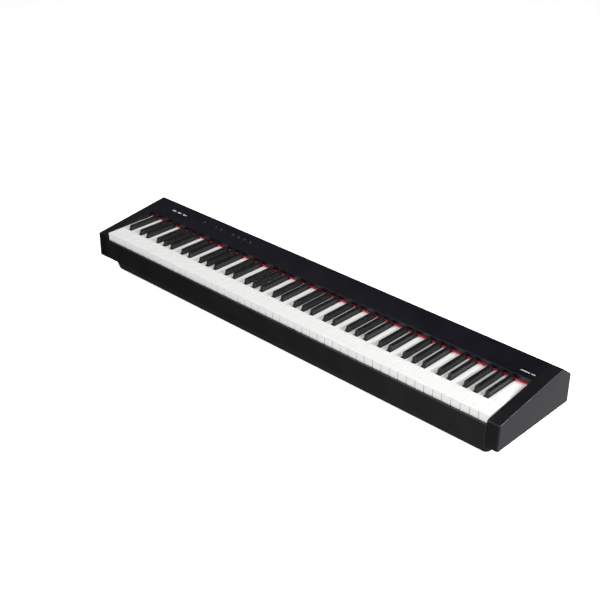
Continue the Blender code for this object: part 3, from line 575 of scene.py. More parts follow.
class Solid:
    """A closed mesh under construction."""

    def __init__(self) -> None:
        """Starts with nothing."""
        self.work = bmesh.new()

    def loft(self, rings: Sequence[Sequence[Place]], closed: bool = False) -> "Solid":
        """Skins a stack of rings that have the same number of points.

        Args:
            rings: The stack, in order.
            closed: Whether the last ring joins the first, as in a hollow turned piece. If not, the
                first and the last ring are capped.

        Returns:
            This solid.
        """
        stack = [[self.work.verts.new(place) for place in ring] for ring in rings]
        count = len(stack[0])
        for low, high in zip(stack, stack[1:] + stack[:1] * closed):
            for i in range(count):
                j = (i + 1) % count
                self.work.faces.new((low[i], low[j], high[j], high[i]))
        if not closed:
            self.work.faces.new(stack[0])
            self.work.faces.new(stack[-1])
        return self

    def bar(self, profile: Sequence[Point], low: float, high: float) -> "Solid":
        """A (y, z) side view drawn out along X."""
        return self.loft([at_side(profile, low), at_side(profile, high)])

    def block(self, low: Place, high: Place) -> "Solid":
        """A box between two corners."""
        ring = [(low[0], low[1]), (high[0], low[1]), (high[0], high[1]), (low[0], high[1])]
        return self.loft([at_height(ring, low[2]), at_height(ring, high[2])])

    def lathe(self, profile: Sequence[Point], steps: int = 32, closed: bool = False) -> "Solid":
        """A (radius, z) profile turned about the Z axis."""
        angles = [2 * math.pi * i / steps for i in range(steps)]
        spokes = [(math.cos(angle), math.sin(angle)) for angle in angles]
        return self.loft([[(r * c, r * s, z) for c, s in spokes] for r, z in profile], closed)

    def merge(self) -> "Solid":
        """Joins points that coincide and turns every face outwards."""
        bmesh.ops.remove_doubles(self.work, verts=self.work.verts, dist=MERGE)
        bmesh.ops.dissolve_degenerate(self.work, edges=self.work.edges, dist=MERGE)
        bmesh.ops.recalc_face_normals(self.work, faces=self.work.faces)
        return self

    def round(self, width: float, segments: int = 3,
              chosen: Callable[[bmesh.types.BMEdge], bool] = lambda edge: True) -> "Solid":
        """Rounds the sharp edges that are chosen."""
        self.merge()
        sharp = math.radians(30)
        edges = [e for e in self.work.edges if e.calc_face_angle(0.0) > sharp and chosen(e)]
        bmesh.ops.bevel(self.work, geom=edges, offset=width, offset_type="OFFSET", segments=segments,
                        profile=0.5, affect="EDGES", clamp_overlap=True)
        return self

    def move(self, matrix: Matrix) -> "Solid":
        """Moves the whole solid."""
        self.work.transform(matrix)
        return self

    def add(self, mesh: bpy.types.Mesh) -> "Solid":
        """Takes in another mesh."""
        self.work.from_mesh(mesh)
        return self

    def mark_edges(self, width: float) -> None:
        """Gives every face narrower than a width the value 1 in the edge attribute."""
        layer = self.work.faces.layers.float.get(EDGE) or self.work.faces.layers.float.new(EDGE)
        for face in self.work.faces:
            face[layer] = float(2 * face.calc_area() < width * face.calc_perimeter())

    def piece(self, name: str, finish: Finish, edge_width: float = 0.0015) -> bpy.types.Object:
        """The solid as an object in the scene, with its finish on it."""
        self.merge()
        self.mark_edges(edge_width)
        mesh = bpy.data.meshes.new(name)
        self.work.to_mesh(mesh)
        self.work.free()
        mesh.materials.append(finish.material())
        made = bpy.data.objects.new(name, mesh)
        bpy.context.scene.collection.objects.link(made)
        return made


def settle(piece: bpy.types.Object) -> bpy.types.Object:
    """Turns a piece's modifiers into plain mesh."""
    graph = bpy.context.evaluated_depsgraph_get()
    mesh = bpy.data.meshes.new_from_object(piece.evaluated_get(graph), preserve_all_data_layers=True,
                                           depsgraph=graph)
    piece.modifiers.clear()
    piece.data = mesh
    return piece


def carve(piece: bpy.types.Object, *cutters: bpy.types.Object) -> bpy.types.Object:
    """Cuts helpers out of a piece and removes them."""
    for cutter in cutters:
        step = piece.modifiers.new(cutter.name, "BOOLEAN")
        step.operation = "DIFFERENCE"
        step.solver = "EXACT"
        step.object = cutter
    settle(piece)
    for cutter in cutters:
        bpy.data.objects.remove(cutter)
    return piece


def smooth(piece: bpy.types.Object) -> None:
    """Smooth shading that leaves flat faces flat, by weighting normals with face area."""
    piece.data.shade_smooth()
    piece.data.set_sharp_from_angle(angle=SMOOTH_ANGLE)
    step = piece.modifiers.new("weighted", "WEIGHTED_NORMAL")
    step.keep_sharp = True
    settle(piece)


def hand_over(piece: bpy.types.Object, body: str, slot: str, *replaced: str) -> bpy.types.Object:
    """Gives a finished piece to the CAD body that it moves with.

    Args:
        piece: The piece, in its place.
        body: The CAD body.
        slot: The record's material slot; not used.
        replaced: The CAD nodes that it stands for.

    Returns:
        The piece.
    """
    smooth(piece)
    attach(piece, body)
    if replaced:
        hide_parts(*replaced)
    LOG.info("%s: %d faces on %s", piece.name, len(piece.data.polygons), body)
    return piece


# ---------------------------------------------------------------- patterns
class Pattern:
    """A geometry tree with named inputs that repeats an item and gives the result its finish."""

    def __init__(self, name: str) -> None:
        """Starts the tree with the inputs that every pattern has."""
        self.tree = bpy.data.node_groups.new(name, "GeometryNodeTree")
        self.tree.interface.new_socket("Pieces", in_out="OUTPUT", socket_type="NodeSocketGeometry")
        self.ids: dict[str, str] = {}
        self.entry = self.tree.nodes.new("NodeGroupInput")
        self.ask("Places", "NodeSocketGeometry")
        self.ask("Finish", "NodeSocketMaterial")

    def ask(self, name: str, kind: str, default: object = None) -> bpy.types.NodeSocket:
        """Adds a named input and returns where the tree reads it."""
        socket = self.tree.interface.new_socket(name, in_out="INPUT", socket_type=kind)
        if default is not None:
            socket.default_value = default
        self.ids[name] = socket.identifier
        return self.entry.outputs[name]

    def node(self, kind: str, settings: dict | None = None, inputs: dict | None = None,
             output: int | str = 0) -> bpy.types.NodeSocket:
        """Adds a node with its settings, then its inputs, and returns one of its outputs."""
        made = self.tree.nodes.new(kind)
        for name, value in (settings or {}).items():
            setattr(made, name, value)
        for name, value in (inputs or {}).items():
            if isinstance(value, bpy.types.NodeSocket):
                self.tree.links.new(value, made.inputs[name])
            else:
                made.inputs[name].default_value = value
        return made.outputs[output]

    def item(self) -> bpy.types.NodeSocket:
        """The geometry of the object that is repeated."""
        return self.node("GeometryNodeObjectInfo", {"transform_space": "ORIGINAL"},
                         {"Object": self.ask("Item", "NodeSocketObject")}, "Geometry")

    def end(self, geometry: bpy.types.NodeSocket) -> None:
        """Sets the finish and closes the tree."""
        finished = self.node("GeometryNodeSetMaterial", None,
                             {"Geometry": geometry, "Material": self.entry.outputs["Finish"]})
        close = self.tree.nodes.new("NodeGroupOutput")
        self.tree.links.new(finished, close.inputs["Pieces"])

    def grow(self, name: str, places: Sequence[Place], finish: Finish, **inputs: object) -> bpy.types.Object:
        """Runs the tree once.

        Args:
            name: The new piece's name.
            places: The points that the tree works on.
            finish: What the result is made of.
            inputs: The named inputs, with _ for a space.

        Returns:
            A plain mesh object.
        """
        mesh = bpy.data.meshes.new(name)
        mesh.from_pydata(places, [], [])
        piece = bpy.data.objects.new(name, mesh)
        step = piece.modifiers.new("pattern", "NODES")
        step.node_group = self.tree
        step[self.ids["Finish"]] = finish.material()
        for label, value in inputs.items():
            step[self.ids[label.replace("_", " ")]] = value
        bpy.context.scene.collection.objects.link(piece)
        return settle(piece)


class Scatter(Pattern):
    """One item at each point, turned to face a way and spun about its own axis by chance."""

    def __init__(self) -> None:
        """Builds the tree."""
        super().__init__("item_at_each_place")
        item = self.item()
        spin = self.ask("Spin", "NodeSocketFloat", 0.0)
        seed = self.ask("Seed", "NodeSocketInt", 0)
        facing = self.ask("Facing", "NodeSocketVector", (0.0, 0.0, 0.0))
        chance = self.node("FunctionNodeRandomValue", {"data_type": "FLOAT"},
                           {2: 0.0, 3: spin, "Seed": seed}, 1)
        about = self.node("ShaderNodeCombineXYZ", None, {"Z": chance})
        turned = self.node("FunctionNodeRotateRotation", {"rotation_space": "GLOBAL"},
                           {"Rotation": about, "Rotate By": facing})
        placed = self.node("GeometryNodeInstanceOnPoints", None,
                           {"Points": self.entry.outputs["Places"], "Instance": item, "Rotation": turned})
        self.end(self.node("GeometryNodeRealizeInstances", None, {"Geometry": placed}))


class Ring(Pattern):
    """Items round a circle about each point, each facing outwards."""

    def __init__(self) -> None:
        """Builds the tree."""
        super().__init__("items_round_a_circle")
        item = self.item()
        count = self.ask("Count", "NodeSocketInt", 12)
        radius = self.ask("Radius", "NodeSocketFloat", 0.01)
        facing = self.ask("Facing", "NodeSocketVector", (0.0, 0.0, 0.0))
        circle = self.node("GeometryNodeMeshCircle", None, {"Vertices": count, "Radius": radius})
        outward = self.node("FunctionNodeAlignRotationToVector", {"axis": "X", "pivot_axis": "Z"},
                            {"Vector": self.node("GeometryNodeInputPosition")})
        wheel = self.node("GeometryNodeInstanceOnPoints", None,
                          {"Points": circle, "Instance": item, "Rotation": outward})
        placed = self.node("GeometryNodeInstanceOnPoints", None,
                           {"Points": self.entry.outputs["Places"], "Instance": wheel, "Rotation": facing})
        self.end(self.node("GeometryNodeRealizeInstances", None, {"Geometry": placed}))


class Slots(Pattern):
    """Parallel round-ended slots whose lengths fill a circle about each point."""

    def __init__(self) -> None:
        """Builds the tree: a short round plug at each slot, pulled apart lengthwise at its middle."""
        super().__init__("slots_in_a_circle")
        item = self.item()
        count = self.ask("Count", "NodeSocketInt", 7)
        pitch = self.ask("Pitch", "NodeSocketFloat", 0.01)
        radius = self.ask("Radius", "NodeSocketFloat", 0.04)
        half = self.maths("MULTIPLY", self.maths("SUBTRACT", count, 1.0), self.maths("MULTIPLY", pitch, -0.5))
        line = self.node("GeometryNodeMeshLine", None,
                         {"Count": count,
                          "Start Location": self.node("ShaderNodeCombineXYZ", None, {"X": half}),
                          "Offset": self.node("ShaderNodeCombineXYZ", None, {"X": pitch})})
        across = self.node("ShaderNodeSeparateXYZ", None, {0: self.node("GeometryNodeInputPosition")}, "X")
        square = self.maths("SUBTRACT", self.maths("MULTIPLY", radius, radius),
                            self.maths("MULTIPLY", across, across))
        reach = self.maths("SQRT", self.maths("MAXIMUM", square, 0.0), 0.0)
        marked = self.node("GeometryNodeStoreNamedAttribute", {"data_type": "FLOAT", "domain": "POINT"},
                           {"Geometry": line, "Name": "reach", "Value": reach})
        plugs = self.node("GeometryNodeInstanceOnPoints", None, {"Points": marked, "Instance": item})
        loose = self.node("GeometryNodeRealizeInstances", None, {"Geometry": plugs})
        side = self.maths("SIGN", self.node("ShaderNodeSeparateXYZ", None,
                                            {0: self.node("GeometryNodeInputPosition")}, "Y"), 0.0)
        known = self.node("GeometryNodeInputNamedAttribute", {"data_type": "FLOAT"}, {"Name": "reach"})
        pull = self.node("ShaderNodeCombineXYZ", None, {"Y": self.maths("MULTIPLY", side, known)})
        slots = self.node("GeometryNodeSetPosition", None, {"Geometry": loose, "Offset": pull})
        placed = self.node("GeometryNodeInstanceOnPoints", None,
                           {"Points": self.entry.outputs["Places"], "Instance": slots})
        self.end(self.node("GeometryNodeRealizeInstances", None, {"Geometry": placed}))

    def maths(self, operation: str, first: object, second: object) -> bpy.types.NodeSocket:
        """One Math node."""
        return self.node("ShaderNodeMath", {"operation": operation}, {0: first, 1: second})


def items_at(pattern: Pattern, name: str, item: bpy.types.Object, places: Sequence[Place], finish: Finish,
             **inputs: object) -> bpy.types.Object:
    """Grows a pattern of an item and removes the item."""
    made = pattern.grow(name, places, finish, Item=item, **inputs)
    bpy.data.objects.remove(item)
    return made


# ---------------------------------------------------------------- shared lines
WALL_LIFT = 0.0016                  # foot of the panel's front wall above the white keys
KEY_DEPTH = 0.0200                  # top of a white key to its underside
REAR_SLOPE = math.radians(36.95)


def middle_of(node: str) -> Vector:
    """The middle of a CAD node's box."""
    return sum(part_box(node), Vector()) / 2


def joint_axis(name: str) -> Vector:
    """The axis of a joint of the frame."""
    return Vector(next(joint["axis"] for joint in frame["joints"] if joint["name"] == name))


@dataclass(frozen=True)
class Layout:
    """Lines that several sub-assemblies share, read from the frame's boxes and joints."""

    pitch: float
    gap: float
    left: float
    key_front: float
    key_top: float
    key_foot: float
    wall: float
    panel_rear: float
    ridge: float
    slope: float
    front: float
    rear: float
    case_bottom: float
    rear_corner: float

    @classmethod
    def read(cls) -> "Layout":
        """Reads the frame."""
        c_low, c_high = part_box("white_key_c4")
        d_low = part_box("white_key_d4")[0]
        panel_low, panel_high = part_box("control_panel")
        cover_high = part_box("rear_cover")[1]
        block_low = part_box("end_block_left")[0]
        tilt = joint_axis("power_button_push")
        pitch, gap = d_low.x - c_low.x, d_low.x - c_high.x
        return cls(pitch=pitch, gap=gap, left=c_low.x - gap / 2 - 23 * pitch, key_front=c_low.y,
                   key_top=panel_low.z - WALL_LIFT, key_foot=panel_low.z - WALL_LIFT - KEY_DEPTH,
                   wall=panel_low.y,
                   panel_rear=panel_high.y, ridge=panel_high.z, slope=math.atan2(tilt.y, -tilt.z),
                   front=block_low.y, rear=cover_high.y, case_bottom=block_low.z,
                   rear_corner=panel_high.z - (cover_high.y - panel_high.y) * math.tan(REAR_SLOPE))

    def surface(self, y: float) -> float:
        """Height of the sloping top of the arms and the control panel."""
        return self.ridge - (self.panel_rear - y) * math.tan(self.slope)

    def rear_surface(self, y: float) -> float:
        """Height of the slope behind the ridge."""
        return self.ridge - (y - self.panel_rear) * self.rear_fall

    @property
    def rear_fall(self) -> float:
        """How steeply the rear slope falls."""
        return (self.ridge - self.rear_corner) / (self.rear - self.panel_rear)

    def on_panel(self, x: float, y: float) -> Matrix:
        """The turn and place that put a piece's own XY plane on the control panel's surface."""
        return Matrix.Translation((x, y, self.surface(y))) @ Matrix.Rotation(self.slope, 4, "X")


LAYOUT = Layout.read()

CASE_PLASTIC = MouldedPlastic("case_black_plastic", "case_black", colour=(0.0045, 0.0043, 0.0058),
                              pale_and_edge_highlight=(0.011, 0.011, 0.012), roughness=0.40, gloss=0.32)
RAIL_PLASTIC = MouldedPlastic("rail_black_plastic", "case_black", roughness=0.40)
PANEL_PLASTIC = MouldedPlastic("panel_black_plastic", "panel_black", colour=(0.0034, 0.0031, 0.0072),
                               pale_and_edge_highlight=(0.012, 0.012, 0.014), roughness=0.32, grain=0.0005, depth=0.00002)
TRAY_PLASTIC = MouldedPlastic("tray_black_plastic", "tray_black", colour=(0.0060, 0.0060, 0.0062),
                              roughness=0.56, grain=0.0012, depth=0.00006)
BUTTON_PLASTIC = MouldedPlastic("button_black_plastic", "button_black", colour=(0.0035, 0.0035, 0.0045),
                                pale_and_edge_highlight=(0.030, 0.030, 0.032), roughness=0.36, grain=0.0004, depth=0.00001,
                                smudge=0.010)
FRAME_PLASTIC = MouldedPlastic("frame_grey_plastic", "frame_plastic", colour=(0.055, 0.055, 0.058),
                               pale_and_edge_highlight=(0.10, 0.10, 0.10), roughness=0.50, grain=0.0010, depth=0.00005)
SOCKET_PLASTIC = MouldedPlastic("socket_black_plastic", "socket_black", colour=(0.012, 0.012, 0.012),
                                pale_and_edge_highlight=(0.045, 0.045, 0.045), roughness=0.42, grain=0.0005, depth=0.00002)
BASKET_STEEL = MouldedPlastic("basket_black_paint", "speaker_black", colour=(0.022, 0.022, 0.022),
                              pale_and_edge_highlight=(0.09, 0.09, 0.09), roughness=0.45, grain=0.0009, depth=0.00003)
IVORY = IvoryPlastic("ivory_white_plastic", "white_key", pitch=LAYOUT.pitch, left=LAYOUT.left)
EBONY = EbonyPlastic("ebony_black_plastic", "black_key")
RED_FELT = WoolFelt("red_wool_felt", "red_felt")
GREY_FELT = WoolFelt("grey_wool_felt", "grey_felt", colour=(0.22, 0.22, 0.22), pale=(0.42, 0.42, 0.41))
ZINC = PlatedMetal("zinc_plated_steel", "steel")
NICKEL = PlatedMetal("nickel_plate", "socket_metal", colour=(0.62, 0.61, 0.59), dull=(0.45, 0.44, 0.42),
                     roughness=0.18, crystal=0.002)
DARK_SCREW = PlatedMetal("black_oxide_steel", "steel", colour=(0.06, 0.06, 0.065), dull=(0.03, 0.03, 0.03),
                         roughness=0.34, crystal=0.001)
FOOT_RUBBER = Rubber("foot_rubber_compound", "foot_rubber")
BOARD = CircuitBoard("green_circuit_board", "circuit_green")
CONE = ConePaper("speaker_cone_paper", "speaker_black")
INK = PaleInk("pale_panel_ink", "panel_black")
LENS = SmokedLens("smoked_lamp_lens", "panel_black")


# ---------------------------------------------------------------- fasteners
@dataclass
class Screws:
    """Cross-recessed pan-head screws, all of one size."""

    radius: float = 0.0029
    height: float = 0.0014
    recess: float = 0.0034
    slot: float = 0.0007

    def one(self) -> bpy.types.Object:
        """One screw head about the origin, its face along +Z."""
        r, h = self.radius, self.height
        head = Solid().lathe([(r * 0.55, -h), (r * 0.9, -h * 0.3), (r, 0), (r * 0.86, h * 0.30),
                              (r * 0.55, h * 0.47), (r * 0.2, h * 0.5)], steps=12)
        screw = head.piece("screw_head", DARK_SCREW)
        half, slot = self.recess / 2, self.slot / 2
        cross = [Solid().block((-x, -y, 0.0), (x, y, h)).piece("cross", DARK_SCREW)
                 for x, y in ((half, slot), (slot, half))]
        return carve(screw, *cross)

    def drive(self, name: str, places: Sequence[Place], facing: Place, seed: int) -> None:
        """Puts a screw at each place.

        Args:
            name: The name of the piece that they make.
            places: Where the undersides of their rims go.
            facing: The turn from +Z to the way that they face.
            seed: Chooses how far each one was turned.
        """
        made = items_at(Scatter(), name, self.one(), places, DARK_SCREW, Spin=math.pi, Seed=seed,
                        Facing=facing)
        hand_over(made, "case", "steel")


# ---------------------------------------------------------------- case
def inset_profile(wall: float, foot: float) -> list[Point]:
    """The case's side view, moved in by a wall on every side but the bottom."""
    lay = LAYOUT
    fall, rise = lay.rear_fall, math.tan(lay.slope)
    lower = wall * math.hypot(1, rise)
    rear_lower = wall * math.hypot(1, fall)
    ridge = lay.panel_rear + (lower - rear_lower) / (rise + fall)
    front, rear = lay.front + wall, lay.rear - wall
    return [(front, foot), (front, lay.surface(front) - lower), (ridge, lay.surface(ridge) - lower),
            (rear, lay.rear_surface(rear) - rear_lower), (rear, foot)]


@dataclass
class Cheek:
    """A hollow end block, open below, with bores for the two pivot rods."""

    hand: Hand
    wall: float = 0.003
    edge: float = 0.0030
    inner_edge: float = 0.0009
    ridge_radius: float = 0.010
    corner_radius: float = 0.0075
    bore: float = 0.0029
    bore_reach: float = 0.014

    def build(self) -> None:
        """Moulds the block, hollows it and bores its inner wall."""
        label = self.hand.name.lower()
        low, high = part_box(f"end_block_{label}")
        outline = rounded(inset_profile(0.0, low.z), [0, 0, self.ridge_radius, self.corner_radius, 0], 5)
        shell = Solid().bar(outline, low.x, high.x)
        inside = low.x if self.hand is Hand.RIGHT else high.x
        shell.round(self.edge, 4, lambda edge: not self.on_side(edge, inside) and self.rises(edge, low.z))
        shell.round(self.inner_edge, 2, lambda edge: self.on_side(edge, inside) and self.rises(edge, low.z))
        block = shell.piece(f"{label}_cheek", CASE_PLASTIC)
        inner = rounded(inset_profile(self.wall, low.z - self.wall),
                        [0, self.wall, self.ridge_radius, self.corner_radius, 0], 3)
        pocket = Solid().bar(inner, low.x + self.wall, high.x - self.wall)
        bores = [self.rod_bore(rod, inside) for rod in ("key_pivot_rod", "hammer_pivot_rod")]
        carve(block, pocket.piece("pocket", CASE_PLASTIC), *bores)
        hand_over(block, "case", "case_black", f"end_block_{label}")

    def on_side(self, edge: bmesh.types.BMEdge, side: float) -> bool:
        """Whether an edge lies on one end face."""
        return all(abs(vert.co.x - side) < MERGE for vert in edge.verts)

    def rises(self, edge: bmesh.types.BMEdge, foot: float) -> bool:
        """Whether an edge reaches above the underside."""
        return any(vert.co.z > foot + MERGE for vert in edge.verts)

    def rod_bore(self, rod: str, inside: float) -> bpy.types.Object:
        """A cutter for the hole that a rod's end lies in."""
        centre = middle_of(rod)
        turn = Matrix.Translation((inside, centre.y, centre.z)) @ Matrix.Rotation(math.pi / 2, 4, "Y")
        tube = Solid().lathe([(self.bore, -self.bore_reach / 2), (self.bore, self.bore_reach / 2)], 24)
        return tube.move(turn).piece("rod_bore", CASE_PLASTIC)


@dataclass
class FrontRail:
    """The long rail before the keys' front edges."""

    edge: float = 0.0012

    def build(self) -> None:
        """Makes the rail."""
        low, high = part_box("front_rail")
        rail = Solid().block(low, high).round(self.edge, 3)
        hand_over(rail.piece("key_slip_rail", RAIL_PLASTIC), "case", "case_black", "front_rail")


@dataclass
class ControlPanel:
    """The top cover: its front wall, button holes, two lamps and a few plain printed marks."""

    shell: float = 0.003
    front_radius: float = 0.0007
    edge: float = 0.0005
    hole_gap: float = 0.0008
    flare: float = 0.0001
    line: float = 0.038
    lamp_radius: float = 0.0011
    lamps: tuple[Point, ...] = ((-0.3654, 0.0669), (-0.2900, 0.0527))
    ink: float = 0.00006
    tick: tuple[float, float, float, float] = (0.0045, 0.0058, 0.0030, 0.0014)
    bars: tuple[float, float, float, float] = (-0.5590, 0.0625, 0.0130, 0.0048)
    bar_step: float = 0.0205
    dashes: tuple[tuple[float, float, float, float], ...] = (
        (0.5850, 0.0432, 0.0230, 0.0030), (0.6045, 0.0432, 0.0090, 0.0030))

    def build(self) -> None:
        """Makes the cover and everything fixed in its face."""
        low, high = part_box("control_panel")
        lay = LAYOUT
        lower = self.shell * math.hypot(1, math.tan(lay.slope))
        inner = low.y + self.shell
        corners = [(low.y, low.z), (low.y, lay.surface(low.y)), (high.y, lay.surface(high.y)),
                   (high.y, lay.surface(high.y) - lower), (inner, lay.surface(inner) - lower), (inner, low.z)]
        outline = rounded(corners, [0, self.front_radius, 0, 0, self.front_radius / 2, 0], 4)
        cover = Solid().bar(outline, low.x, high.x).round(self.edge, 2).piece("panel_cover", PANEL_PLASTIC)
        holes = [self.button_hole(name) for name in button_names()]
        holes += [self.lamp_hole(place) for place in self.lamps]
        carve(cover, *holes)
        hand_over(cover, "case", "panel_black", "control_panel")
        self.add_lamps()
        self.print_marks()

    def button_hole(self, name: str) -> bpy.types.Object:
        """A cutter for a button's hole, flared at the surface."""
        x, width, depth = button_size(name)
        gap = 2 * self.hole_gap
        rings = [(-2 * self.shell, 0.0), (-self.flare, 0.0), (self.flare, 4 * self.flare)]
        hole = Solid().loft([at_height(rectangle(width + gap + wider, depth + gap + wider, 0.0011), z)
                             for z, wider in rings])
        return hole.move(LAYOUT.on_panel(x, LAYOUT.wall + self.line)).piece("hole", PANEL_PLASTIC)

    def lamp_hole(self, place: Point) -> bpy.types.Object:
        """A cutter for a lamp's hole."""
        radius = self.lamp_radius + self.hole_gap / 4
        tube = Solid().lathe([(radius, -2 * self.shell), (radius, self.shell)], 16)
        return tube.move(LAYOUT.on_panel(*place)).piece("lamp_hole", PANEL_PLASTIC)

    def add_lamps(self) -> None:
        """Puts a domed lens in each lamp hole."""
        r = self.lamp_radius
        lens = Solid()
        for place in self.lamps:
            dome = Solid().lathe([(r, -self.shell), (r, -0.1 * r), (0.85 * r, 0.12 * r), (0.5 * r, 0.26 * r),
                                  (0.15 * r, 0.3 * r)], 16).move(LAYOUT.on_panel(*place))
            part = dome.piece("lens_part", LENS)
            lens.add(part.data)
            bpy.data.objects.remove(part)
        hand_over(lens.piece("lamp_lenses", LENS), "case", "panel_black")

    def print_marks(self) -> None:
        """Prints a tick behind each button, three bars at the left end and two dashes at the right."""
        along, back, width, depth = self.tick
        row = LAYOUT.wall + self.line + back
        marks = [(button_size(name)[0] + along, row, width, depth) for name in button_names()]
        x, y, width, depth = self.bars
        marks += [(x + number * self.bar_step, y, width, depth) for number in range(3)]
        marks += list(self.dashes)
        item = Solid().loft([at_height(rectangle(1.0, 1.0, 0.0), z) for z in (-self.ink, self.ink)])
        unit = item.piece("mark_part", INK)
        sheet = Solid()
        for x, y, width, depth in marks:
            spot = unit.data.copy()
            spot.transform(LAYOUT.on_panel(x, y) @ Matrix.Diagonal((width, depth, 1.0, 1.0)))
            sheet.add(spot)
        bpy.data.objects.remove(unit)
        hand_over(sheet.piece("panel_marks", INK), "case", "panel_black")


@dataclass
class RearCover:
    """The rear slope and rear wall in one sheet, with socket windows and countersunk screws."""

    shell: float = 0.003
    corner_radius: float = 0.0075
    edge: float = 0.0005
    window_gap: float = 0.0003
    flange: float = 0.0075
    screw_x: tuple[float, ...] = (-0.59, -0.36, -0.12, 0.12, 0.36, 0.59)
    screw_lift: float = 0.008
    seat_radius: float = 0.0034
    seat_depth: float = 0.0012

    def build(self) -> None:
        """Makes the cover with its windows and screws."""
        low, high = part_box("rear_cover")
        lay = LAYOUT
        lower = self.shell * math.hypot(1, lay.rear_fall)
        inner = high.y - self.shell
        corners = [(low.y, lay.rear_surface(low.y)), (high.y, lay.rear_corner), (high.y, low.z),
                   (inner, low.z),
                   (inner, lay.rear_surface(inner) - lower), (low.y, lay.rear_surface(low.y) - lower)]
        radii = [0, self.corner_radius, 0, 0, self.corner_radius - self.shell, 0]
        outline = rounded(corners, radii, 5)
        cover = Solid().bar(outline, low.x, high.x).round(self.edge, 2).piece("rear_case_cover", CASE_PLASTIC)
        windows = [self.window("dc_inlet"), self.window("data_port"), self.round_window("pedal_socket")]
        places = [(x, high.y, low.z + self.screw_lift) for x in self.screw_x]
        carve(cover, *windows, *[self.hole(place, self.seat_radius, self.seat_depth) for place in places])
        hand_over(cover, "case", "case_black", "rear_cover")
        depth = high.y - self.seat_depth
        seats = [(x, depth, z) for x, _, z in places]
        Screws().drive("rear_cover_screws", seats, (-math.pi / 2, 0.0, 0.0), 3)

    def hole(self, centre: Place, radius: float, reach: float) -> bpy.types.Object:
        """A round cutter along Y about a centre."""
        turn = Matrix.Translation(centre) @ Matrix.Rotation(math.pi / 2, 4, "X")
        return Solid().lathe([(radius, -reach), (radius, reach)], 32).move(turn).piece("hole", CASE_PLASTIC)

    def window(self, node: str) -> bpy.types.Object:
        """A cutter round a square socket."""
        low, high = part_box(node)
        gap = Vector((self.window_gap, 2 * self.shell, self.window_gap))
        return Solid().block(low - gap, high + gap).piece("window", CASE_PLASTIC)

    def round_window(self, node: str) -> bpy.types.Object:
        """A cutter round a round socket."""
        low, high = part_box(node)
        centre = ((low.x + high.x) / 2, high.y, (low.z + high.z) / 2)
        return self.hole(centre, self.flange + self.window_gap, 2 * self.shell)


@dataclass
class BottomTray:
    """The tapered tray: speaker slots, headphone holes and screwed to the case from below."""

    wall: float = 0.0025
    taper: Point = (0.0180, 0.0055)
    corner: float = 0.012
    foot_radius: float = 0.0050
    arc_steps: int = 4
    slot_width: float = 0.0035
    slot_pitch: float = 0.011
    slot_circle: float = 0.0395
    slots: int = 7
    hole_radius: float = 0.0061
    seat_radius: float = 0.0036
    seat_depth: float = 0.0011
    screws: tuple[Point, ...] = ((-0.565, 0.0), (-0.30, -0.094), (-0.30, 0.094), (0.0, -0.094), (0.0, 0.094),
                                 (0.30, -0.094), (0.30, 0.094), (0.565, 0.0))

    def build(self) -> None:
        """Makes the tray with its holes and screws."""
        low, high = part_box("bottom_tray")
        centres = [middle_of(f"speaker_{hand}") for hand in ("left", "right")]
        shell = Solid().loft(self.side(low, high, 0.0) + self.side(low, high, self.wall)[::-1])
        tray = shell.piece("speaker_tray", TRAY_PLASTIC)
        plug = Solid().lathe([(self.slot_width / 2, low.z - self.wall),
                              (self.slot_width / 2, low.z + 2 * self.wall)],
                             12).move(Matrix.Rotation(math.pi / 12, 4, "Z")).piece("plug", TRAY_PLASTIC)
        slots = items_at(Slots(), "slots", plug, [(centre.x, 0.0, 0.0) for centre in centres], TRAY_PLASTIC,
                         Count=self.slots, Pitch=self.slot_pitch, Radius=self.slot_circle)
        cutters = [slots] + [self.socket_hole(f"headphone_socket_{hand}") for hand in ("left", "right")]
        seat = Solid().lathe([(self.seat_radius, low.z - self.wall),
                              (self.seat_radius, low.z + self.seat_depth)], 24)
        cutters.append(items_at(Scatter(), "seats", seat.piece("seat", TRAY_PLASTIC),
                                [(x, y, 0.0) for x, y in self.screws], TRAY_PLASTIC))
        carve(tray, *cutters)
        hand_over(tray, "case", "tray_black", "bottom_tray")
        places = [(x, y, low.z + self.seat_depth) for x, y in self.screws]
        Screws().drive("tray_screws", places, (math.pi, 0.0, 0.0), 8)

    def ring(self, low: Vector, high: Vector, z: float, inset: float) -> list[Place]:
        """The tray's plan at a height, moved in by a margin."""
        depth = (high.z - z) / (high.z - low.z)
        width = 2 * (high.x - self.taper[0] * depth - inset)
        length = 2 * (high.y - self.taper[1] * depth - inset)
        return at_height(rectangle(width, length, max(self.corner - inset, self.wall), 5), z)

    def side(self, low: Vector, high: Vector, inset: float) -> list[list[Place]]:
        """The tray's side, moved in by an inset: round its lower edge and up to its rim."""
        radius, floor = self.foot_radius - inset, low.z + inset
        rings = []
        for step in range(self.arc_steps + 1):
            angle = step * math.pi / 2 / self.arc_steps
            rings.append(self.ring(low, high, floor + radius * (1 - math.cos(angle)),
                                   inset + radius * (1 - math.sin(angle))))
        return rings + [self.ring(low, high, high.z, inset)]

    def socket_hole(self, node: str) -> bpy.types.Object:
        """A cutter for the hole that a headphone socket passes through."""
        low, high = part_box(node)
        centre = Vector(((low.x + high.x) / 2, low.y, (low.z + high.z) / 2))
        turn = Matrix.Translation(centre) @ Matrix.Rotation(math.pi / 2, 4, "X")
        tube = Solid().lathe([(self.hole_radius, -4 * self.wall), (self.hole_radius, 4 * self.wall)], 32)
        return tube.move(turn).piece("socket_hole", TRAY_PLASTIC)


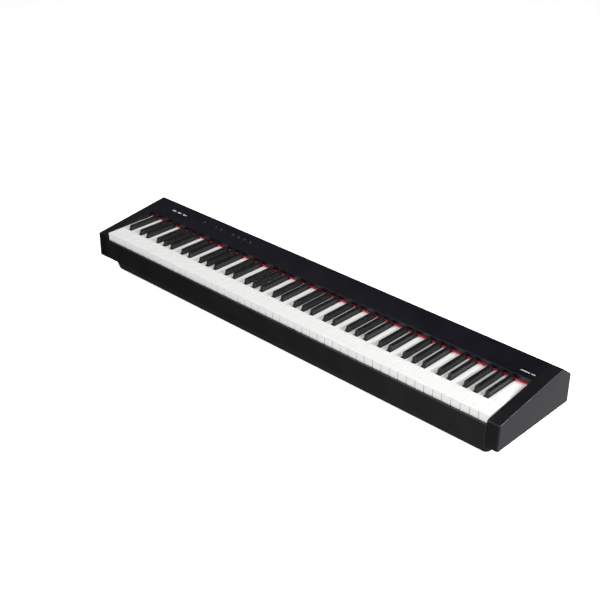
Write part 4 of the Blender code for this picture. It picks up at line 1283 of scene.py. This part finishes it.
@dataclass
class Feet:
    """Four rubber feet with a chamfered rim and a ribbed tread."""

    ribs: int = 24
    rib_depth: float = 0.0006

    def build(self) -> None:
        """Makes a foot at each corner."""
        for depth in Depth:
            for hand in Hand:
                self.foot(f"{depth.name.lower()}_{hand.name.lower()}")

    def foot(self, label: str) -> None:
        """Turns one foot and fits its ribs."""
        low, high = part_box(f"foot_{label}")
        centre, radius, height = (low + high) / 2, (high.x - low.x) / 2, high.z - low.z
        profile = [(0.10 * radius, 0.12 * height), (0.55 * radius, 0.12 * height), (0.62 * radius, 0.0),
                   (0.86 * radius, 0.0), (0.93 * radius, 0.06 * height), (0.975 * radius, 0.34 * height),
                   (0.97 * radius, 0.80 * height), (radius, 0.84 * height), (radius, height),
                   (0.10 * radius, height)]
        turned = Solid().lathe(profile, 48).move(Matrix.Translation((centre.x, centre.y, low.z)))
        hand_over(turned.piece(f"rubber_{label}", FOOT_RUBBER), "case", "foot_rubber", f"foot_{label}")
        rib = Solid().block((-self.rib_depth, -0.0004, 0.34 * height), (0.0, 0.0004, 0.80 * height))
        ribs = items_at(Ring(), f"foot_ribs_{label}", rib.piece("rib", FOOT_RUBBER),
                        [(centre.x, centre.y, low.z)], FOOT_RUBBER, Count=self.ribs, Radius=radius)
        hand_over(ribs, "case", "foot_rubber")


# ---------------------------------------------------------------- keyboard
@dataclass
class Keyboard:
    """The 88 keys: one octave of separate keys, and the others joined behind the pivot."""

    whites: int = 52
    first: int = 23
    head: float = 0.050
    edge: float = 0.0005
    corner: float = 0.0009
    plate: float = 0.0032
    overhang: float = 0.0001
    shoulder: float = 0.006
    stick: float = 0.0080
    stick_height: float = 0.0105
    step: float = 0.032
    rear: float = 0.006
    bar: Point = (0.0015, 0.010)
    black_width: float = 0.0119
    black_top: float = 0.0096
    black_height: float = 0.0115
    black_edge: float = 0.0013
    black_slope: float = 0.0065
    black_rear: float = 0.003
    black_stick: float = 0.0095
    black_bar: Point = (0.026, 0.012)
    black_bar_height: float = 0.006
    bar_drop: float = 0.0016
    cap_foot: float = 0.0110
    pair: float = 0.0020
    trio: float = 0.0037
    bore: float = 0.0029
    pusher: Place = (0.0070, 0.0035, 0.038)
    pusher_back: float = 0.060

    def __post_init__(self) -> None:
        """Reads the pivot's place from the frame."""
        self.pivot = middle_of("key_pivot_rod")

    def letter(self, index: int) -> str:
        """A white key's letter, counted from the lowest."""
        return "abcdefg"[index % 7]

    def black_middle(self, index: int) -> float | None:
        """The middle of the black key to the right of a white key, if there is one."""
        leans = {"c": -self.pair, "d": self.pair, "f": -self.trio, "g": 0.0, "a": self.trio}
        if not 0 <= index < self.whites - 1 or self.letter(index) not in leans:
            return None
        return LAYOUT.left + (index + 1) * LAYOUT.pitch + leans[self.letter(index)]

    def sides(self, index: int) -> tuple[Point, Point]:
        """Left and right sides of a white key's head, then of its tail."""
        lay = LAYOUT
        head = (lay.left + index * lay.pitch + lay.gap / 2, lay.left + (index + 1) * lay.pitch - lay.gap / 2)
        room = self.black_width / 2 + lay.gap
        before, after = self.black_middle(index - 1), self.black_middle(index)
        return head, (head[0] if before is None else before + room,
                      head[1] if after is None else after - room)

    def tail_middle(self, index: int) -> float:
        """The middle of a white key's tail."""
        return sum(self.sides(index)[1]) / 2

    def plan(self, index: int, margin: float) -> list[Point]:
        """A white key seen from above, moved in by a margin at its sides and six of them in front."""
        lay = LAYOUT
        (left, right), (tail_left, tail_right) = self.sides(index)
        front, notch = lay.key_front + 6 * margin, lay.key_front + self.head
        shoulder, rear = lay.wall + self.shoulder, self.pivot.y - self.step
        middle, half = (tail_left + tail_right) / 2, self.stick / 2 - margin
        sharp, small = 0.0, self.corner / 2
        path = [(middle - half, rear, sharp), (middle - half, shoulder, sharp),
                (tail_left + margin, shoulder, sharp)]
        if tail_left > left + MERGE:
            path += [(tail_left + margin, notch, small), (left + margin, notch, small)]
        path += [(left + margin, front, self.corner), (right - margin, front, self.corner)]
        if tail_right < right - MERGE:
            path += [(right - margin, notch, small), (tail_right - margin, notch, small)]
        path += [(tail_right - margin, shoulder, sharp), (middle + half, shoulder, sharp),
                 (middle + half, rear, sharp)]
        return rounded([(x, y) for x, y, _ in path], [radius for _, _, radius in path], 3)

    def white(self, index: int, rear: float) -> bpy.types.Object:
        """One white key: an overhanging plate on a body, and a stick with the pivot's bore."""
        lay = LAYOUT
        top, seam = lay.key_top, lay.key_top - self.plate
        plate = Solid().loft([at_height(self.plan(index, 0.0), z) for z in (seam, top)])
        plate.round(self.edge, 3, lambda edge: all(vert.co.z > top - MERGE for vert in edge.verts))
        body = self.plan(index, self.overhang)
        plate.loft([at_height(body, z) for z in (lay.key_foot, seam + self.overhang)])
        half, middle = self.stick / 2 - self.overhang, self.tail_middle(index)
        stick = self.bored((middle - half, self.pivot.y - self.step - half, lay.key_foot + self.overhang),
                           (middle + half, rear, lay.key_foot + self.stick_height))
        key = plate.add(stick.data).piece(f"white_{index}", IVORY)
        bpy.data.objects.remove(stick)
        return key

    def bored(self, low: Place, high: Place) -> bpy.types.Object:
        """A stick with the pivot rod's bore through it."""
        turn = Matrix.Translation((low[0], self.pivot.y, self.pivot.z)) @ Matrix.Rotation(math.pi / 2, 4, "Y")
        tube = Solid().lathe([(self.bore, -self.stick), (self.bore, 3 * self.stick)], 24).move(turn)
        return carve(Solid().block(low, high).piece("stick", IVORY), tube.piece("bore", IVORY))

    def cap(self, centre: float) -> Solid:
        """A black key's cap: tapered upwards, with a sloping front and rounded edges."""
        lay = LAYOUT
        low, high = lay.key_top - self.cap_foot, lay.key_top + self.black_height
        front, rear = lay.key_front + self.head + lay.gap / 2, lay.wall - self.black_rear
        rings = []
        for z, width, start in ((low, self.black_width, front),
                                (high, self.black_top, front + self.black_slope)):
            left, right = centre - width / 2, centre + width / 2
            rings.append(at_height([(left, start), (right, start), (right, rear), (left, rear)], z))
        return Solid().loft(rings).round(self.black_edge, 4,
                                         lambda edge: any(vert.co.z > low + MERGE for vert in edge.verts))

    def black(self, index: int, separate: bool) -> bpy.types.Object:
        """One black key: a cap on its own bored stick, or on an arm of the joined row."""
        lay = LAYOUT
        centre, half = self.black_middle(index), self.black_stick / 2
        front = lay.key_front + self.head + 2 * lay.gap
        key = self.cap(centre)
        if separate:
            stick = self.bored((centre - half, front, lay.key_foot),
                               (centre + half, self.pivot.y + self.rear, lay.key_foot + self.stick_height))
            key.add(stick.data)
            bpy.data.objects.remove(stick)
        else:
            bar_middle = self.pivot.y - sum(self.black_bar) / 2
            top = lay.key_top - self.bar_drop
            foot = max(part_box("black_key_row")[0].z, top - self.black_bar_height)
            key.block((centre - half, front, foot), (centre + half, bar_middle, top))
        return key.piece(f"black_{index}", EBONY)

    def lug(self, key: Solid, centre: float) -> Solid:
        """Adds the lug that presses a hammer under a separate key."""
        width, length, drop = self.pusher
        y = LAYOUT.key_front + self.pusher_back
        return key.block((centre - width / 2, y - length / 2, LAYOUT.key_top - drop),
                         (centre + width / 2, y + length / 2, LAYOUT.key_foot + self.stick_height / 2))

    def separate(self, index: int) -> None:
        """The separate white key of that index, and the black key after it."""
        letter = self.letter(index)
        white = self.white(index, self.pivot.y + self.rear)
        key = self.lug(Solid().add(white.data), self.tail_middle(index))
        bpy.data.objects.remove(white)
        hand_over(key.piece(f"ivory_{letter}4", IVORY), f"key_{letter}4", "white_key", f"white_key_{letter}4")
        if self.black_middle(index) is None:
            return
        label = f"{letter}_sharp_4"
        black = self.black(index, True)
        key = self.lug(Solid().add(black.data), self.black_middle(index))
        bpy.data.objects.remove(black)
        hand_over(key.piece(f"ebony_{label}", EBONY), f"key_{label}", "black_key", f"black_key_{label}")

    def row(self, octave: list[bpy.types.Object], extras: list[bpy.types.Object], finish: Finish) -> Solid:
        """Six copies of an octave and a few odd keys as one solid."""
        group = Solid()
        for key in octave:
            group.add(key.data)
        span = 7 * LAYOUT.pitch
        places = [(number * span, 0.0, 0.0) for number in (-3, -2, -1, 1, 2, 3)]
        copies = items_at(Scatter(), "octaves", group.piece("octave", finish), places, finish)
        joined = Solid().add(copies.data)
        for key in extras:
            joined.add(key.data)
        for helper in [copies, *octave, *extras]:
            bpy.data.objects.remove(helper)
        return joined

    def build(self) -> None:
        """Makes every key."""
        octave = range(self.first, self.first + 7)
        for index in octave:
            self.separate(index)
        rear = self.pivot.y + self.rear
        reach = rear + sum(self.bar) / 2
        whites = self.row([self.white(index, reach) for index in octave],
                          [self.white(index, reach) for index in (0, 1, self.whites - 1)], IVORY)
        half, ends = self.stick / 2, (self.tail_middle(0), self.tail_middle(self.whites - 1))
        whites.block((ends[0] - half, rear + self.bar[0], LAYOUT.key_foot),
                     (ends[1] + half, rear + self.bar[1], LAYOUT.key_foot + self.stick_height))
        hand_over(whites.piece("white_row_keys", IVORY), "white_row", "white_key", "white_key_row")
        blacks = self.row([self.black(index, False)
                           for index in octave if self.black_middle(index) is not None],
                          [self.black(0, False)], EBONY)
        low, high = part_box("black_key_row")
        top = LAYOUT.key_top - self.bar_drop
        blacks.block((low.x, self.pivot.y - self.black_bar[0], top - self.black_bar_height),
                     (high.x, self.pivot.y - self.black_bar[1], top))
        hand_over(blacks.piece("black_row_keys", EBONY), "black_row", "black_key", "black_key_row")


@dataclass
class FeltStrip:
    """The red strip at the foot of the panel's front wall, cut by hand a little unevenly."""

    step: float = 0.004
    unevenness: float = 0.00012
    radius: float = 0.0003

    def build(self) -> None:
        """Lays the strip."""
        low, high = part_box("wall_felt")
        count = int((high.x - low.x) / self.step)
        rings = []
        for number in range(count + 1):
            x = low.x + (high.x - low.x) * number / count
            drop = self.unevenness * (1 + math.sin(1.7 * number) * math.cos(0.6 * number))
            corners = [(low.y, low.z), (high.y, low.z), (high.y, high.z - drop), (low.y, high.z - drop)]
            rings.append(at_side(rounded(corners, [0, 0, self.radius, self.radius], 2), x))
        strip = Solid().loft(rings).piece("red_felt_strip", RED_FELT, self.radius)
        hand_over(strip, "case", "red_felt", "wall_felt")


# ---------------------------------------------------------------- controls
BUTTON_RIM = 0.0015


def button_names() -> list[str]:
    """The buttons from left to right."""
    return ["power_button", *[f"volume_button_{n}" for n in (1, 2)],
            *[f"function_button_{n}" for n in range(1, 5)]]


def button_size(name: str) -> tuple[float, float, float]:
    """A button's middle along X, its width and its depth."""
    low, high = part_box(name)
    return (low.x + high.x) / 2, high.x - low.x - 2 * BUTTON_RIM, 0.0080


@dataclass
class Buttons:
    """Seven push buttons with rounded corners and slightly dished tops."""

    line: float = 0.038
    proud: float = 0.0016
    shell: float = 0.003
    stem: float = 0.004
    clear: float = 0.0003
    corner: float = 0.0008
    crown: tuple[Point, ...] = ((0.0, 0.0006), (0.00012, 0.00025), (0.0004, 0.00006), (0.0009, 0.0),
                                (0.0022, 0.00012))

    def build(self) -> None:
        """Makes each button."""
        for name in button_names():
            self.button(name)

    def button(self, name: str) -> None:
        """A stem, a flange under the panel and a dished top, in one loft."""
        x, width, depth = button_size(name)
        under = -self.shell - self.clear
        steps = [(-self.shell - self.stem, 0.0), (under - BUTTON_RIM, 0.0), (under - BUTTON_RIM, -BUTTON_RIM),
                 (under, -BUTTON_RIM), (under, 0.0)]
        steps += [(self.proud - drop, inset) for inset, drop in self.crown]
        rings = [at_height(rectangle(width - 2 * inset, depth - 2 * inset,
                                     max(self.corner - inset / 2, 0.0003)), z)
                 for z, inset in steps]
        cap = Solid().loft(rings).move(LAYOUT.on_panel(x, LAYOUT.wall + self.line))
        hand_over(cap.piece(f"{name}_cap", BUTTON_PLASTIC, 0.0006), name, "button_black", name)


# ---------------------------------------------------------------- sockets
@dataclass
class Sockets:
    """Two headphone sockets in the tray's front wall and three sockets in the rear wall."""

    flange: float = 0.0075
    barrel: float = 0.0058
    bore: float = 0.0033
    lip: float = 0.0012
    length: float = 0.014
    sleeve: float = 0.0004
    knurls: int = 30
    pin: float = 0.0009
    dc_bore: float = 0.0040
    hollow: float = 0.0100
    mouth: Point = (0.0122, 0.0110)
    tongue: Place = (0.0070, 0.0026, 0.0080)

    def build(self) -> None:
        """Makes all five."""
        for hand in Hand:
            label = hand.name.lower()
            self.round_socket(f"headphone_socket_{label}", f"headphone_nut_{label}", Depth.FRONT,
                              SOCKET_PLASTIC)
        self.round_socket("pedal_socket", "pedal_nut", Depth.REAR, NICKEL)
        self.power_inlet()
        self.data_port()

    def round_socket(self, node: str, name: str, facing: Depth, finish: Finish) -> None:
        """A knurled nut with a bevelled mouth, and the sleeve in its bore."""
        low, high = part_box(node)
        face = low.y + self.lip if facing is Depth.FRONT else high.y - self.lip
        turn = (Matrix.Translation(((low.x + high.x) / 2, face, (low.z + high.z) / 2))
                @ Matrix.Rotation(-facing.value * math.pi / 2, 4, "X"))
        r, hole, lip = self.flange, self.bore + self.sleeve, self.lip
        profile = [(hole + 0.0009, lip), (r - 0.0009, lip), (r - 0.0003, lip - 0.0002), (r - 0.00025, 0.0),
                   (self.barrel, 0.0), (self.barrel, -self.length), (hole, -self.length),
                   (hole, lip - 0.0008),
                   (hole + 0.0003, lip - 0.0002)]
        nut = Solid().lathe(profile, 40, closed=True).move(turn)
        hand_over(nut.piece(name, finish), "case", finish.slot, node)
        ridge = Solid().block((-0.00035, -0.0003, 0.0001), (0.0, 0.0003, lip - 0.0003)).piece("ridge", finish)
        knurl = items_at(Ring(), f"{name}_knurl", ridge, [tuple(turn.translation)], finish, Count=self.knurls,
                         Radius=r, Facing=tuple(turn.to_euler()))
        hand_over(knurl, "case", finish.slot)
        tube = [(hole - 0.00002, 0.0), (hole - 0.00002, 0.0006 - self.length),
                (self.bore, 0.0006 - self.length),
                (self.bore, 0.0)]
        sleeve = Solid().lathe(tube, 32, closed=True).move(turn)
        hand_over(sleeve.piece(f"{name}_sleeve", NICKEL), "case", "socket_metal")

    def shell(self, node: str, cutter: Solid) -> None:
        """A square socket's body, hollowed."""
        low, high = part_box(node)
        body = Solid().block(low, high).round(0.0005, 2).piece(f"{node}_body", SOCKET_PLASTIC)
        carve(body, cutter.piece("hollow", SOCKET_PLASTIC))
        hand_over(body, "case", "socket_black", node)

    def power_inlet(self) -> None:
        """A round hole with the barrel plug's centre pin."""
        low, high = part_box("dc_inlet")
        turn = (Matrix.Translation(((low.x + high.x) / 2, high.y, (low.z + high.z) / 2))
                @ Matrix.Rotation(-math.pi / 2, 4, "X"))
        hole = Solid().lathe([(self.dc_bore, -self.hollow), (self.dc_bore, -0.0005),
                              (self.dc_bore + 0.001, 0.0005)], 32)
        self.shell("dc_inlet", hole.move(turn))
        tip = -self.hollow * 0.12
        pin = Solid().lathe([(self.pin, -self.hollow - 0.0005), (self.pin, tip - 0.0006),
                             (0.6 * self.pin, tip),
                             (0.1 * self.pin, tip)], 20).move(turn)
        hand_over(pin.piece("dc_centre_pin", NICKEL), "case", "socket_metal")

    def data_port(self) -> None:
        """A square mouth with its contact tongue."""
        low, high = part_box("data_port")
        x, z = (low.x + high.x) / 2, (low.z + high.z) / 2
        half_x, half_z = self.mouth[0] / 2, self.mouth[1] / 2
        mouth = Solid().block((x - half_x, high.y - self.hollow, z - half_z),
                              (x + half_x, high.y + 0.002, z + half_z))
        self.shell("data_port", mouth)
        width, height, reach = self.tongue
        tongue = Solid().block((x - width / 2, high.y - self.hollow - 0.0005, z - height / 2),
                               (x + width / 2, high.y - self.hollow + reach, z + height / 2)).round(0.0004, 2)
        hand_over(tongue.piece("data_port_tongue", SOCKET_PLASTIC), "case", "socket_black")
        strip = Solid().block((-0.0003, -reach / 2, 0.0), (0.0003, reach / 2, 0.00008))
        places = [(x + offset, high.y - self.hollow + reach / 2, z + height / 2)
                  for offset in (-0.0018, 0.0018)]
        contacts = items_at(Scatter(), "data_port_contacts", strip.piece("contact", NICKEL), places, NICKEL)
        hand_over(contacts, "case", "socket_metal")


# ---------------------------------------------------------------- speakers and action
@dataclass
class Speakers:
    """Two drivers that face down through the tray's slots."""

    cone_radius: float = 0.0345
    inner: float = 0.0008

    def build(self) -> None:
        """Makes both."""
        for hand in Hand:
            self.driver(hand.name.lower())

    def driver(self, label: str) -> None:
        """A basket with its magnet, a rolled surround, and the cone with its dust cap."""
        low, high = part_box(f"speaker_{label}")
        radius, height = (high.x - low.x) / 2, high.z - low.z
        seat = Matrix.Translation(((low.x + high.x) / 2, (low.y + high.y) / 2, low.z))
        magnet, waist, cone = 0.55 * radius, 0.55 * height, self.cone_radius
        profile = [(self.inner, height), (magnet - 0.001, height), (magnet, height - 0.001), (magnet, waist),
                   (magnet + 0.002, waist - 0.0005), (radius - 0.0015, 0.22 * height),
                   (radius, 0.19 * height),
                   (radius, 0.0003), (radius - 0.0004, 0.0), (radius - 0.0045, 0.0),
                   (radius - 0.0050, 0.0030),
                   (0.45 * radius, 0.0108), (self.inner, 0.0112)]
        hand_over(Solid().lathe(profile, 64).move(seat).piece(f"basket_{label}", BASKET_STEEL), "case",
                  "speaker_black", f"speaker_{label}")
        roll = [(cone - 0.0012 + 0.0034 * (1 - math.cos(math.pi * n / 6)),
                 0.0032 - 0.0022 * math.sin(math.pi * n / 6))
                for n in range(7)]
        back = [(r, z + 0.0006) for r, z in reversed(roll)]
        surround = Solid().lathe(roll + back, 64, closed=True).move(seat)
        hand_over(surround.piece(f"surround_{label}", FOOT_RUBBER), "case", "foot_rubber")
        paper = [(self.inner, 0.0098), (0.013, 0.0095), (cone, 0.0037), (cone, 0.0031), (0.0128, 0.0086),
                 (0.0120, 0.0074), (0.0090, 0.0060), (0.0050, 0.0052), (self.inner, 0.0050)]
        hand_over(Solid().lathe(paper, 64).move(seat).piece(f"cone_{label}", CONE), "case", "speaker_black")


@dataclass
class Action:
    """Finishes for the hidden frame's pieces, and the rubber domes that the keys press."""

    domes: int = 88
    dome_radius: float = 0.0030
    dome_height: float = 0.0022

    def build(self) -> None:
        """Dresses the nodes that keep their own shape, and adds the domes."""
        hammers = [name for name in frame["nodes"] if name.startswith("hammer_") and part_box(name)[1].x
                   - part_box(name)[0].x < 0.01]
        weight_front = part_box("hammer_rest_felt")[0].y
        hammer = HammerPlastic("hammer_plastic_and_weight", "frame_plastic", weight_front=weight_front)
        dressed = {"chassis_plate": ZINC, "key_pivot_rod": ZINC, "hammer_pivot_rod": ZINC,
                   "key_frame": FRAME_PLASTIC,
                   "key_stop_felt": GREY_FELT, "hammer_rest_felt": GREY_FELT, "contact_board": BOARD,
                   "main_board": BOARD, "panel_board": BOARD, **{name: hammer for name in hammers}}
        for name, finish in dressed.items():
            for slot in frame["nodes"][name].material_slots:
                slot.material = finish.material()
            LOG.info("%s: dressed with %s", name, finish.name)
        self.add_domes()

    def add_domes(self) -> None:
        """A silicone dome on the contact board for each key."""
        low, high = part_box("contact_board")
        r, h = self.dome_radius, self.dome_height
        dome = Solid().lathe([(r, 0.0), (r, 0.15 * h), (0.75 * r, 0.3 * h), (0.6 * r, 0.9 * h), (0.5 * r, h),
                              (0.1 * r, h)], 12).piece("dome", FOOT_RUBBER)
        step = (high.x - low.x) / self.domes
        places = [(low.x + (number + 0.5) * step, (low.y + high.y) / 2, high.z)
                  for number in range(self.domes)]
        hand_over(items_at(Scatter(), "contact_domes", dome, places, FOOT_RUBBER), "case", "foot_rubber")


# ---------------------------------------------------------------- stage
class Sky(Shade):
    """The studio's surroundings: plain white to the camera, soft broad glows to everything else."""

    def __init__(self) -> None:
        """Starts an empty world."""
        world = bpy.data.worlds.new("studio")
        world.use_nodes = True
        bpy.context.scene.world = world
        self.tree = world.node_tree
        self.tree.nodes.clear()

    def glow(self, towards: Place, spread: float) -> Value:
        """1 in a direction, falling to 0 at an angle from it in degrees."""
        way = self.node("ShaderNodeTexCoord", output="Generated")
        aim = tuple(Vector(towards).normalized())
        cosine = self.node("ShaderNodeVectorMath", {"operation": "DOT_PRODUCT"}, {0: way, 1: aim}, "Value")
        return cosine.ramp(math.cos(math.radians(spread)), 1.0)

    def light(self, base: float, glows: Sequence[tuple[Place, float, float]]) -> None:
        """Joins the glows and hides them from the camera.

        Args:
            base: The strength everywhere.
            glows: A direction, a spread in degrees and a strength for each glow.
        """
        strength = base
        for towards, spread, power in glows:
            strength = strength + power * self.glow(towards, spread)
        seen = self.node("ShaderNodeLightPath", output="Is Camera Ray")
        soft = self.node("ShaderNodeBackground", None, {"Color": (0.97, 0.98, 1.0), "Strength": strength})
        white = self.node("ShaderNodeBackground", None, {"Color": (1.0, 1.0, 1.0), "Strength": 1.0})
        both = self.node("ShaderNodeMixShader", None, {0: seen, 1: soft, 2: white})
        close = self.tree.nodes.new("ShaderNodeOutputWorld")
        self.tree.links.new(both.socket, close.inputs["Surface"])


@dataclass(frozen=True)
class SoftBox:
    """A rectangular studio light aimed at a point."""

    name: str
    place: Place
    aim: Place
    size: Point
    power: float

    def build(self) -> None:
        """Hangs the light."""
        data = bpy.data.lights.new(self.name, "AREA")
        data.shape = "RECTANGLE"
        data.size, data.size_y = self.size
        data.energy = self.power
        lamp = bpy.data.objects.new(self.name, data)
        lamp.location = self.place
        lamp.rotation_euler = (Vector(self.place) - Vector(self.aim)).to_track_quat("Z", "Y").to_euler()
        lamp.visible_camera = False
        bpy.context.scene.collection.objects.link(lamp)


@dataclass
class Stage:
    """The plain pale floor, the studio lights and the camera."""

    floor_size: float = 60.0
    camera_place: Place = (1.64538, -1.77092, 1.42556)
    yaw: float = 0.757430
    pitch: float = 0.503151
    roll: float = 0.0056687
    lens: float = 68.845
    base: float = 0.01
    glows: tuple[tuple[Place, float, float], ...] = (
        ((0.60, 0.64, -0.48), 60.0, 0.98),
        ((-0.75, 0.45, 0.50), 35.0, 0.04),
        ((0.30, -0.90, -0.30), 50.0, 1.7),
    )
    boxes: tuple[SoftBox, ...] = (
        SoftBox("front_box", (0.3, -2.6, 1.5), (0.0, 0.0, 0.1), (2.4, 0.9), 24.0),
        SoftBox("top_left_box", (-1.0, -0.4, 2.4), (-0.2, 0.0, 0.1), (1.4, 1.2), 31.0),
        SoftBox("right_rear_box", (2.4, 0.9, 1.6), (0.3, 0.0, 0.1), (1.0, 1.0), 86.0),
        SoftBox("low_front_box", (0.9, -2.2, 0.5), (0.3, 0.0, 0.05), (1.6, 0.5), 17.0),
    )

    def build(self) -> None:
        """Sets everything up."""
        self.floor()
        Sky().light(self.base, self.glows)
        for box in self.boxes:
            box.build()
        self.camera()
        bpy.context.scene.view_settings.view_transform = "Standard"

    def floor(self) -> None:
        """A wide pale floor that stays out of reflections."""
        shade = Shade("pale_floor")
        cloud = shade.noise(shade.place(), 0.8, 2.0)
        shade.done({"Base Color": shade.blend(cloud, (0.90, 0.90, 0.90), (0.92, 0.92, 0.92)),
                    "Roughness": 0.9, "Emission Color": (1.0, 1.0, 1.0), "Emission Strength": 0.8})
        half = self.floor_size / 2
        mesh = bpy.data.meshes.new("studio_floor")
        mesh.from_pydata([(-half, -half, 0), (half, -half, 0), (half, half, 0), (-half, half, 0)], [],
                         [(0, 1, 2, 3)])
        mesh.materials.append(shade.material)
        floor = bpy.data.objects.new("studio_floor", mesh)
        floor.visible_glossy = False
        floor.visible_diffuse = False
        bpy.context.scene.collection.objects.link(floor)

    def camera(self) -> None:
        """Places the camera."""
        data = bpy.data.cameras.new("studio_camera")
        data.lens, data.sensor_width = self.lens, 36.0
        data.clip_end = 2 * self.floor_size
        camera = bpy.data.objects.new("studio_camera", data)
        turn = (Matrix.Rotation(self.yaw, 4, "Z") @ Matrix.Rotation(math.pi / 2 - self.pitch, 4, "X")
                @ Matrix.Rotation(self.roll, 4, "Z"))
        camera.matrix_world = Matrix.Translation(self.camera_place) @ turn
        bpy.context.scene.collection.objects.link(camera)
        bpy.context.scene.camera = camera


# ---------------------------------------------------------------- everything
def main() -> None:
    """Builds every sub-assembly."""
    logging.basicConfig(level=logging.INFO, format="%(name)s: %(message)s")
    parts = (Stage(), Cheek(Hand.LEFT), Cheek(Hand.RIGHT), FrontRail(), ControlPanel(), RearCover(),
             BottomTray(),
             Feet(), Keyboard(), FeltStrip(), Buttons(), Sockets(), Speakers(), Action())
    for part in parts:
        part.build()
        LOG.info("built %s", type(part).__name__)


if __name__ == "__main__":
    main()
